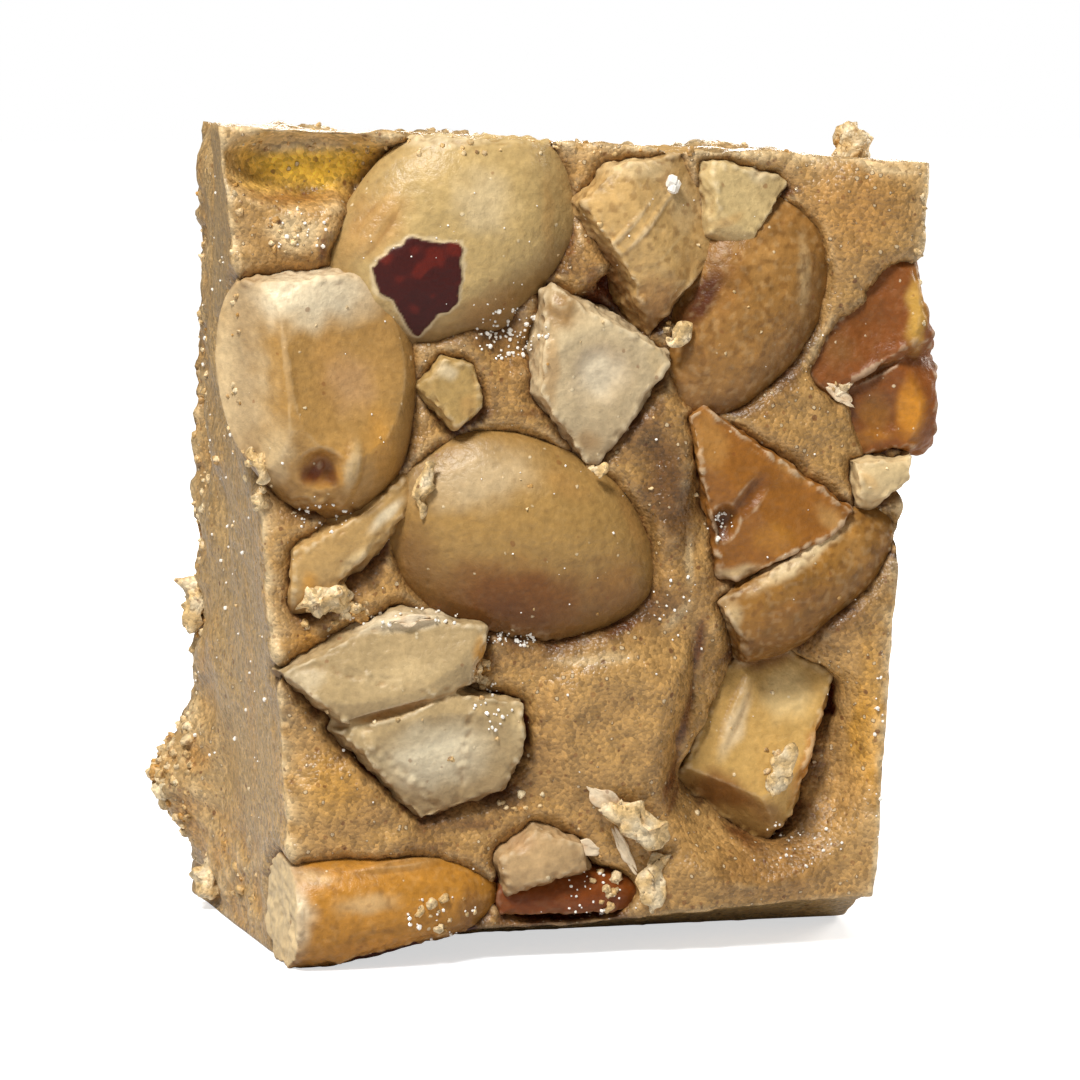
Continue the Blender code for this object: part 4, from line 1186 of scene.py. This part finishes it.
# Each oval on the face: centre x and z, half length, half width, turn, tone and strength. Some are
# painted light and shade: the bright top of the imprint and the pale lines along the tongue are
# painted light, the shadow and crevice tones are painted shadow beside and under nuts, and the thin
# dark lines are painted shade in seams and crevices.
FUDGE_DABS = (
    # The imprint is ochre. Its top is painted brighter with a pale edge, as painted light on its shaded top
    # wall, and its lower edge brown, as painted shade.
    (-12.7, 38.5, 4.8, 1.9, 0, linear(255, 206, 68), 0.97), (-12.9, 39.4, 4.4, 0.7, 0, PALE, 0.85),
    (-13.6, 36.8, 2.6, 0.35, 0, BROWN, 0.75),
    (-13.7, 35.2, 1.8, 1.3, 0, PALE, 0.8), (-12.3, 34.4, 0.3, 1.1, 0, DARK, 0.85),
    (-9.8, 38.3, 0.6, 1.7, -30, HONEY, 0.6), (13.9, 36.3, 3.4, 2.6, 0, linear(178, 130, 68), 0.7),
    (15.3, 38.0, 2.0, 0.3, -3, PALE, 0.7), (17.2, 35.9, 0.3, 2.6, 0, PALE, 0.7),
    (-3.2, 29.5, 1.7, 1.7, 0, UMBER, 0.5), (1.3, 32.1, 1.2, 2.0, 35, linear(84, 26, 10), 0.9),
    # Painted shadow: the oval in the shadow tone, beside the big half.
    (-0.4, 35.1, 0.5, 1.7, 0, DARK, 0.7), (4.4, 22.8, 2.0, 5.2, 8, SHADE, 0.9),
    (4.9, 27.8, 1.4, 1.1, 0, UMBER, 0.5), (10.5, 26.3, 1.7, 1.4, 0, TAN, 0.5),
    # Painted shade: the dark lines in the seams right of the tongue.
    (1.7, 12.2, 3.7, 3.2, 0, TAN, 0.5), (6.1, 15.2, 0.4, 2.0, -3, DARK, 0.9),
    (5.5, 11.6, 0.45, 2.4, -12, DARK, 0.9), (4.7, 8.6, 0.5, 2.0, -20, DARK, 0.85),
    # Painted shadow: the crevice tone under the curved half.
    (9.0, 14.9, 3.0, 0.7, 30, CREVICE_SHADE, 0.9), (4.9, 7.6, 1.4, 0.35, 60, DARK, 0.75),
    # Painted highlight: the pale lines along the rim of the tongue. Painted shade: the dark line under the
    # sunk chunk.
    (0.6, 14.7, 2.8, 0.4, 4, PALE, 0.6), (4.9, 16.6, 1.3, 0.4, 50, PALE, 0.6),
    (5.4, 19.2, 0.35, 1.8, 0, PALE, 0.5), (8.6, 5.4, 1.7, 0.5, -30, DARK, 0.85),
    (14.6, 11.0, 1.0, 5.5, 0, OCHRE, 0.8), (9.4, 4.2, 4.6, 1.8, 0, UMBER, 0.6),
    (3.6, 16.9, 3.4, 0.8, 25, UMBER, 0.5), (-12.1, 9.0, 2.3, 2.0, 0, OCHRE, 0.45),
    (-7.5, 5.8, 2.3, 0.7, 0, UMBER, 0.5), (-13.4, 15.9, 1.0, 1.1, 0, AMBER, 0.7),
    # Painted shade: the thin dark lines in the crevices under and between the nuts, to the end of the
    # table.
    (-4.8, 6.7, 1.7, 0.4, 0, DARK, 0.5), (-1.4, 1.7, 3.2, 0.3, 2, DARK, 0.8),
    (2.2, 16.1, 1.7, 0.2, 25, DARK, 0.8), (-11.4, 18.2, 1.7, 1.1, 20, HONEY, 0.6),
    (-2.1, 26.5, 2.0, 0.3, 0, DARK, 0.6),)

# %% Colour the face
colours = np.tile(TAN, (len(points), 1))
golden_share = 0.22 * patches(points, 4.0, 15.0, -0.1, 0.5) + 0.15 * patches(points, 1.5, 25.0, 0.0, 0.5)
colours = blend_towards(colours, HONEY, golden_share)
colours = blend_towards(colours, UMBER, 0.2 * patches(points, 2.6, 19.0, -0.05, 0.5))
colours = add_ovals(colours, points, FUDGE_DABS)
edges, creases = edges_and_creases(fudge)
colours = blend_towards(colours, PALE, 0.45 * edges)
# Painted shade in the creases.
colours = blend_towards(colours, CREVICE_SHADE, 0.5 * creases)

# %% Colour the other sides
sides = np.tile(SIDE_TAN, (len(points), 1))
sides = blend_towards(sides, TAN, 0.5 * patches(points, (1.2, 1.2, 7.0), 17.0, -0.2, 0.5))
sides = blend_towards(sides, PIT, 0.75 * torn_share * (1.0 - ramp(-0.35, 0.0, torn)))
sides = blend_towards(sides, PALE_CRUMB, 0.55 * torn_share * ramp(-0.1, 0.25, torn))
# Painted light: the left side a little lighter towards its foot.
painted_foot_light = 0.15 * ramp(18.0, 8.0, points[:, 2]) * on_left
sides *= (1.0 + painted_foot_light)[:, None]
colours = colours * face_share[:, None] + sides * (1.0 - face_share)[:, None]

# %% Colour the cut edges, and paint shade in the crevices
edge_distance = np.minimum(np.minimum(points[:, 0] - left, right - points[:, 0]), top - points[:, 2])
edge_pale = np.exp(-np.maximum(edge_distance, 0.0) / 0.4) * face_share
colours = blend_towards(colours, PALE_CRUMB, 0.75 * edge_pale * patches(points, 0.8, 21.0, -0.4, 0.2))
# Painted shade in the crevices round the nuts and under them, and painted shadow on their lee side.
painted_crevice_shade = np.exp(-(near / 0.34) ** 1.5) * (0.35 + 0.65 * uneven_rim)
painted_lee_shadow = np.exp(-(near / 0.95) ** 1.8) * ramp(0.1, 0.9, lee)
painted_lee_shadow *= 0.55 + 0.45 * patches(points, 1.7, 33.0, -0.4, 0.2)
deep = np.where(covered, 1.0, np.maximum(0.9 * painted_crevice_shade, 0.95 * painted_lee_shadow))
colours = blend_towards(colours, CREVICE_SHADE, deep)
wet = np.exp(-near / 0.9) * (0.3 + 0.7 * patches(points, 1.6, 27.0, -0.2, 0.4)) * (1.0 - deep)
paint(fudge, colours, wet=wet - 0.9 * deep)
finish_piece(fudge, fudge_finish)
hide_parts("fudge_block")

# %% [markdown]
# ## Crumbs, sugar and flakes
# A cut sweet is never clean. Crumbs of fudge stick in corners and on the torn sides, sugar grains
# sparkle where the fudge is wet, and thin flakes of broken nut lie on the face. Each kind is one
# mesh: a small seed shape is modelled once, then repeated from an array of places. The places are
# found by looking straight at each side, so every crumb rests on the surface under it.

# %% Places on the surface
surface = tree_of([fudge, *nuts.values()])
LOOKS = {"front": Vector((0, 1, 0)), "back": Vector((0, -1, 0)), "left": Vector((1, 0, 0)),
         "right": Vector((-1, 0, 0)), "top": Vector((0, 0, -1))}
BLOCK_MIDDLE, LOOK_FROM = Vector((0.0, -0.3, 20.0)), 60.0


def find_place(side, across, up):
    """The point and its normal, seen from one side at two measures: x and z, y and z, or x and y."""
    look = LOOKS[side]
    if side in ("front", "back"):
        spot = Vector((across, BLOCK_MIDDLE.y, up))
    elif side == "top":
        spot = Vector((across, up, BLOCK_MIDDLE.z))
    else:
        spot = Vector((BLOCK_MIDDLE.x, across, up))
    point, normal, _, _ = surface.ray_cast(spot - look * LOOK_FROM, look)
    return point, normal

# %% Scatter and repeat
def scatter_places(draws, ovals):
    """Places drawn in ovals, each with its point, its normal and a size."""
    places = []
    for side, across, up, half_across, half_up, count, small, large in ovals:
        for _ in range(count):
            turn, out = draws.uniform(0.0, 2.0 * math.pi), math.sqrt(draws.random())
            point, normal = find_place(
                side, across + half_across * out * math.cos(turn), up + half_up * out * math.sin(turn))
            size = small + (large - small) * draws.random() ** 2
            if point is not None and point.z > size:
                places.append((point, normal, size))
    return places


def repeat_seed(name, seed_piece, places, draws, stretch, sink):
    """One mesh of many turned and stretched copies of a seed shape, one at each place."""
    corners = np.array([vertex.co for vertex in seed_piece.data.vertices])
    faces = [list(face.vertices) for face in seed_piece.data.polygons]
    bpy.data.objects.remove(seed_piece, do_unlink=True)
    all_points, all_faces, shade = [], [], []
    for number, (point, normal, size) in enumerate(places):
        angle = draws.uniform(0.0, 2.0 * math.pi)
        turn = Matrix.Rotation(angle, 3, Vector([draws.gauss(0, 1) for _ in range(3)]))
        sizes = np.array([size * draws.uniform(*stretch) for _ in range(3)]) / 2.0
        shape = (corners * sizes) @ np.array(turn).T
        all_points.append(keep_inside(shape + np.array(point + normal * (size * sink))))
        all_faces += [[number * len(corners) + corner for corner in face] for face in faces]
        shade += [draws.random()] * len(corners)
    mesh = bpy.data.meshes.new(name)
    mesh.from_pydata(((np.concatenate(all_points) + FACE_SHIFT) * MM).tolist(), [], all_faces)
    piece = bpy.data.objects.new(name, mesh)
    bpy.context.scene.collection.objects.link(piece)
    return piece, np.array(shade)


# %% Crumbs of fudge
# Each oval: side, middle, half sizes, how many, and the smallest and largest size.
CRUMB_PATCHES = (
    ("front", -12.1, 17.3, 1.9, 1.0, 24, 0.2, 0.8), ("front", -4.8, 14.0, 0.4, 1.0, 14, 0.25, 0.7),
    ("front", -6.6, 2.6, 1.5, 0.9, 12, 0.2, 0.6), ("front", -15.6, 23.4, 0.5, 1.5, 12, 0.25, 0.7),
    ("front", -13.6, 35.2, 1.6, 1.2, 12, 0.2, 0.5), ("front", 9.9, 8.9, 0.5, 1.1, 8, 0.25, 0.5),
    ("front", 12.9, 27.3, 0.5, 0.4, 5, 0.25, 0.5), ("front", 4.5, 30.4, 0.3, 0.3, 4, 0.25, 0.5),
    ("front", 0.6, 23.7, 0.4, 0.3, 5, 0.2, 0.5), ("front", -2.8, 7.8, 1.6, 0.5, 9, 0.2, 0.5),
    ("front", 1.3, 3.6, 0.8, 1.4, 14, 0.25, 0.7), ("front", 0.0, 20.0, 16.0, 19.0, 50, 0.12, 0.3),
    ("front", 0.0, 39.3, 16.5, 0.5, 70, 0.15, 0.4), ("front", -16.4, 30.0, 0.4, 9.0, 26, 0.15, 0.4),
    ("front", 17.0, 34.0, 0.3, 4.0, 14, 0.15, 0.4), ("left", 8.0, 20.0, 1.6, 19.0, 130, 0.15, 0.5),
    ("left", 7.8, 6.6, 2.2, 3.2, 70, 0.3, 0.9), ("left", 1.0, 2.6, 5.0, 2.0, 16, 0.2, 0.6),
    ("left", -5.0, 20.0, 4.0, 18.0, 10, 0.12, 0.25), ("right", 5.0, 20.0, 4.0, 18.0, 120, 0.15, 0.55),
    ("top", 0.0, 5.0, 15.5, 4.0, 120, 0.15, 0.5), ("back", 0.0, 20.0, 14.5, 18.0, 420, 0.15, 0.8),
)
DRAW_SEED = 5
draws = random.Random(DRAW_SEED)
start_primitive()
bpy.ops.mesh.primitive_ico_sphere_add(subdivisions=2, radius=1.0)
crumb_seed = bpy.context.object
for vertex in crumb_seed.data.vertices:
    vertex.co *= 1.0 + 0.75 * noise.noise(vertex.co * 1.5 + Vector((4.0, 1.0, 2.0)))
crumb_places = scatter_places(draws, CRUMB_PATCHES)
crumbs, shade = repeat_seed("crumbs", crumb_seed, crumb_places, draws, (0.6, 1.4), -0.05)
golden = ramp(0.72, 0.8, shade) * (1.0 - ramp(0.86, 0.92, shade))
colours = blend_towards(np.tile(linear(206, 170, 112), (len(shade), 1)), linear(232, 212, 172), shade)
colours = blend_towards(colours, linear(190, 144, 78), golden)
paint(crumbs, colours, wet=np.zeros(len(shade)))
finish_piece(crumbs, fudge_finish)

# %% Stuck lumps
# The eight crumbs that the solid block carries, each finer and more uneven here, and the larger pale
# crumbs on the nuts: middle x, y, z, half sizes, and turn.
STUCK_CRUMBS = (
    ((2.6, FACE_Y - 0.9, 6.7), (1.9, 0.45, 0.8), -36), ((3.6, FACE_Y - 0.3, 3.6), (0.6, 0.5, 1.7), -12),
    ((-12.4, FACE_Y - 0.2, 17.9), (1.4, 0.9, 0.8), 0), ((14.9, -5.0, 39.0), (0.8, 0.8, 1.3), 0),
    ((-15.9, 5.4, 1.5), (1.0, 1.2, 1.0), 0), ((-16.2, 8.4, 15.5), (0.9, 1.2, 1.4), 0),
    ((15.6, 7.6, 7.0), (1.0, 1.3, 1.2), 0), ((16.4, 7.9, 29.5), (1.1, 1.2, 1.5), 0),
    ((-7.6, FACE_Y - 0.9, 23.2), (1.5, 0.35, 0.42), 78),
    ((-15.5, FACE_Y - 0.5, 24.4), (1.1, 0.35, 0.4), -65),
    ((10.1, FACE_Y - 0.4, 8.8), (1.4, 0.3, 0.65), 62),
    ((0.9, FACE_Y - 1.0, 23.9), (0.5, 0.25, 0.25), 60), ((4.7, FACE_Y - 0.7, 30.2), (0.8, 0.25, 0.3), 55),
)


def add_lump(number, centre, half_sizes, turn):
    """One ragged lump."""
    start_primitive()
    bpy.ops.mesh.primitive_ico_sphere_add(subdivisions=4, radius=1.0)
    lump = bpy.context.object
    lump.matrix_world = (
        Matrix.Translation(to_frame(centre)) @ Matrix.Rotation(-math.radians(turn), 4, "Y")
        @ Matrix.Diagonal((*(MM * half for half in half_sizes), 1.0)))
    bpy.ops.object.transform_apply(location=True, rotation=True, scale=True)
    points = read_points(lump)
    points = points + 0.55 * sideways_noise(points, 0.7, number + 3.0, number + 6.0)
    rough = max(min(half_sizes) / 0.8, 0.5)
    lift = rough * (waves(points, (0.34, 0.9, number), (0.2, 0.38, number + 9.0)) - 0.12)
    write_points(lump, keep_inside(points + read_normals(lump) * lift[:, None]))
    return lump


stuck = join_pieces([add_lump(number, *lump) for number, lump in enumerate(STUCK_CRUMBS)], "stuck_crumbs")
points = read_points(stuck)
edges, creases = edges_and_creases(stuck, 3)
colours = np.tile(linear(210, 178, 124), (len(points), 1))
colours = blend_towards(colours, CREAM, 0.7 * patches(points, 0.7, 5.0, -0.2, 0.4))
# Painted shade in the creases of the lumps.
colours = blend_towards(colours, HONEY, 0.7 * creases)
paint(stuck, colours, wet=np.zeros(len(points)))
finish_piece(stuck, fudge_finish)

# %% [markdown]
# ## Sugar
# Sugar grains are tiny clear blocks with worn corners. From a step away they show as white sparkles,
# so here they are white and glossy, which renders quickly. A bevelled cube is the seed.

# %% Sugar grains
sugar_finish, tree, shader = new_finish("sugar grain finish", specular=0.8)
set_inputs(shader, {"Base Color": (1.0, 0.97, 0.9, 1.0), "Roughness": 0.1, "IOR": 1.5})
SUGAR_PATCHES = (
    ("front", -3.4, 30.3, 1.7, 1.3, 90, 0.07, 0.21), ("front", 4.7, 17.2, 1.1, 1.8, 14, 0.07, 0.19),
    ("front", -3.2, 15.7, 1.2, 0.4, 39, 0.07, 0.19), ("front", 11.3, 5.2, 2.0, 1.1, 30, 0.07, 0.21),
    ("front", 15.0, 9.9, 0.6, 4.5, 18, 0.07, 0.19), ("front", 7.1, 20.9, 0.5, 0.8, 21, 0.07, 0.20),
    ("front", -7.0, 2.4, 2.0, 1.2, 24, 0.07, 0.21), ("front", 0.6, 3.0, 1.6, 1.2, 34, 0.07, 0.20),
    ("front", -13.3, 35.3, 1.5, 1.1, 18, 0.07, 0.20), ("front", -8.3, 16.9, 3.0, 0.4, 34, 0.07, 0.19),
    ("front", -4.4, 12.6, 1.0, 1.2, 26, 0.07, 0.19), ("front", -12.4, 21.8, 1.4, 0.7, 26, 0.07, 0.19),
    ("front", -6.0, 34.5, 4.5, 4.0, 18, 0.04, 0.10), ("front", -2.5, 20.5, 5.0, 4.0, 5, 0.04, 0.10),
    ("front", 0.0, 20.0, 16.5, 19.0, 80, 0.04, 0.12), ("left", 0.0, 20.0, 9.0, 19.0, 60, 0.07, 0.19),
    ("right", 0.0, 20.0, 9.0, 19.0, 60, 0.07, 0.19), ("top", 0.0, 0.0, 16.0, 9.0, 78, 0.07, 0.19),
    ("back", 0.0, 20.0, 15.0, 18.0, 90, 0.07, 0.21), ("front", 4.5, 37.4, 0.22, 0.22, 4, 0.5, 0.62),
)
start_primitive()
bpy.ops.mesh.primitive_cube_add(size=2.0)
grain_seed = bpy.context.object
bpy.ops.object.mode_set(mode="EDIT")
bpy.ops.mesh.select_all(action="SELECT")
bpy.ops.mesh.bevel(offset=0.45, segments=1, affect="EDGES")
bpy.ops.object.mode_set(mode="OBJECT")
sugar_places = scatter_places(draws, SUGAR_PATCHES)
sugar, _ = repeat_seed("sugar_grains", grain_seed, sugar_places, draws, (0.7, 1.2), 0.2)
finish_piece(sugar, sugar_finish)
sugar.data.shade_flat()

# %% [markdown]
# ## Flakes
# The thin white flakes are splinters of nut. Each starts as a plane, subdivided in edit mode, pulled
# to a ragged leaf, curled, and given a thickness by a Solidify modifier.

# %% Flakes of nut
# Each flake: x and z on the face, how far its middle lies off the surface, length, width, turn, curl.
FLAKES = (
    (1.3, 7.7, 0.2, 2.6, 0.9, -42, 0.3), (2.3, 5.2, 0.2, 2.0, 0.7, -62, 0.3),
    (0.5, 5.4, 0.15, 1.3, 0.6, -15, 0.2), (12.9, 27.2, 0.15, 1.6, 0.55, -38, 0.3),
    (13.2, 27.5, 0.2, 0.9, 0.35, 40, 0.2), (-8.3, 16.9, 0.1, 1.6, 0.5, 4, 0.2),
)
FLAKE_THICKNESS = 0.16


def add_flake(number, x, z, off, length, width, turn, curl):
    """One curled, pointed splinter."""
    start_primitive()
    bpy.ops.mesh.primitive_plane_add(size=1.0)
    flake = bpy.context.object
    bpy.ops.object.mode_set(mode="EDIT")
    bpy.ops.mesh.select_all(action="SELECT")
    bpy.ops.mesh.subdivide(number_cuts=9)
    bpy.ops.object.mode_set(mode="OBJECT")
    point, normal = find_place("front", x, z)
    spread = Matrix.Rotation(-math.radians(turn), 3, "Y")
    shaped = []
    for vertex in flake.data.vertices:
        along, aside = 2.0 * vertex.co.x, 2.0 * vertex.co.y
        ragged = 1.0 + 0.8 * noise.noise(Vector((1.7 * along, 1.7 * aside, 7.3 * number)))
        narrow = 1.0 - 0.8 * abs(along) ** 1.5
        bend = curl * (0.2 * along * along - 0.3 * aside * aside)
        bend += 0.1 * noise.noise(Vector((1.8 * along, 1.8 * aside, 3.0 + number)))
        half_long, half_wide = 0.5 * length * ragged, 0.5 * width * ragged * narrow
        shaped.append(point + spread @ Vector((half_long * along, bend * width - off, half_wide * aside)))
    write_points(flake, keep_inside(np.array(shaped)))
    apply_modifier(flake, "SOLIDIFY", thickness=FLAKE_THICKNESS * MM, offset=0.0)
    apply_modifier(flake, "SUBSURF", levels=1, render_levels=1)
    return flake


flakes = join_pieces([add_flake(number, *sizes) for number, sizes in enumerate(FLAKES)], "nut_flakes")
bpy.ops.object.mode_set(mode="EDIT")
bpy.ops.mesh.select_all(action="SELECT")
bpy.ops.mesh.normals_make_consistent(inside=False)
bpy.ops.object.mode_set(mode="OBJECT")
points = read_points(flakes)
colours = np.tile(linear(234, 214, 182), (len(points), 1))
colours = blend_towards(colours, linear(214, 176, 132), 0.7 * patches(points, 0.6, 5.0, 0.0, 0.5))
paint(flakes, colours, broken=np.ones(len(points)))
finish_piece(flakes, nut_finish)
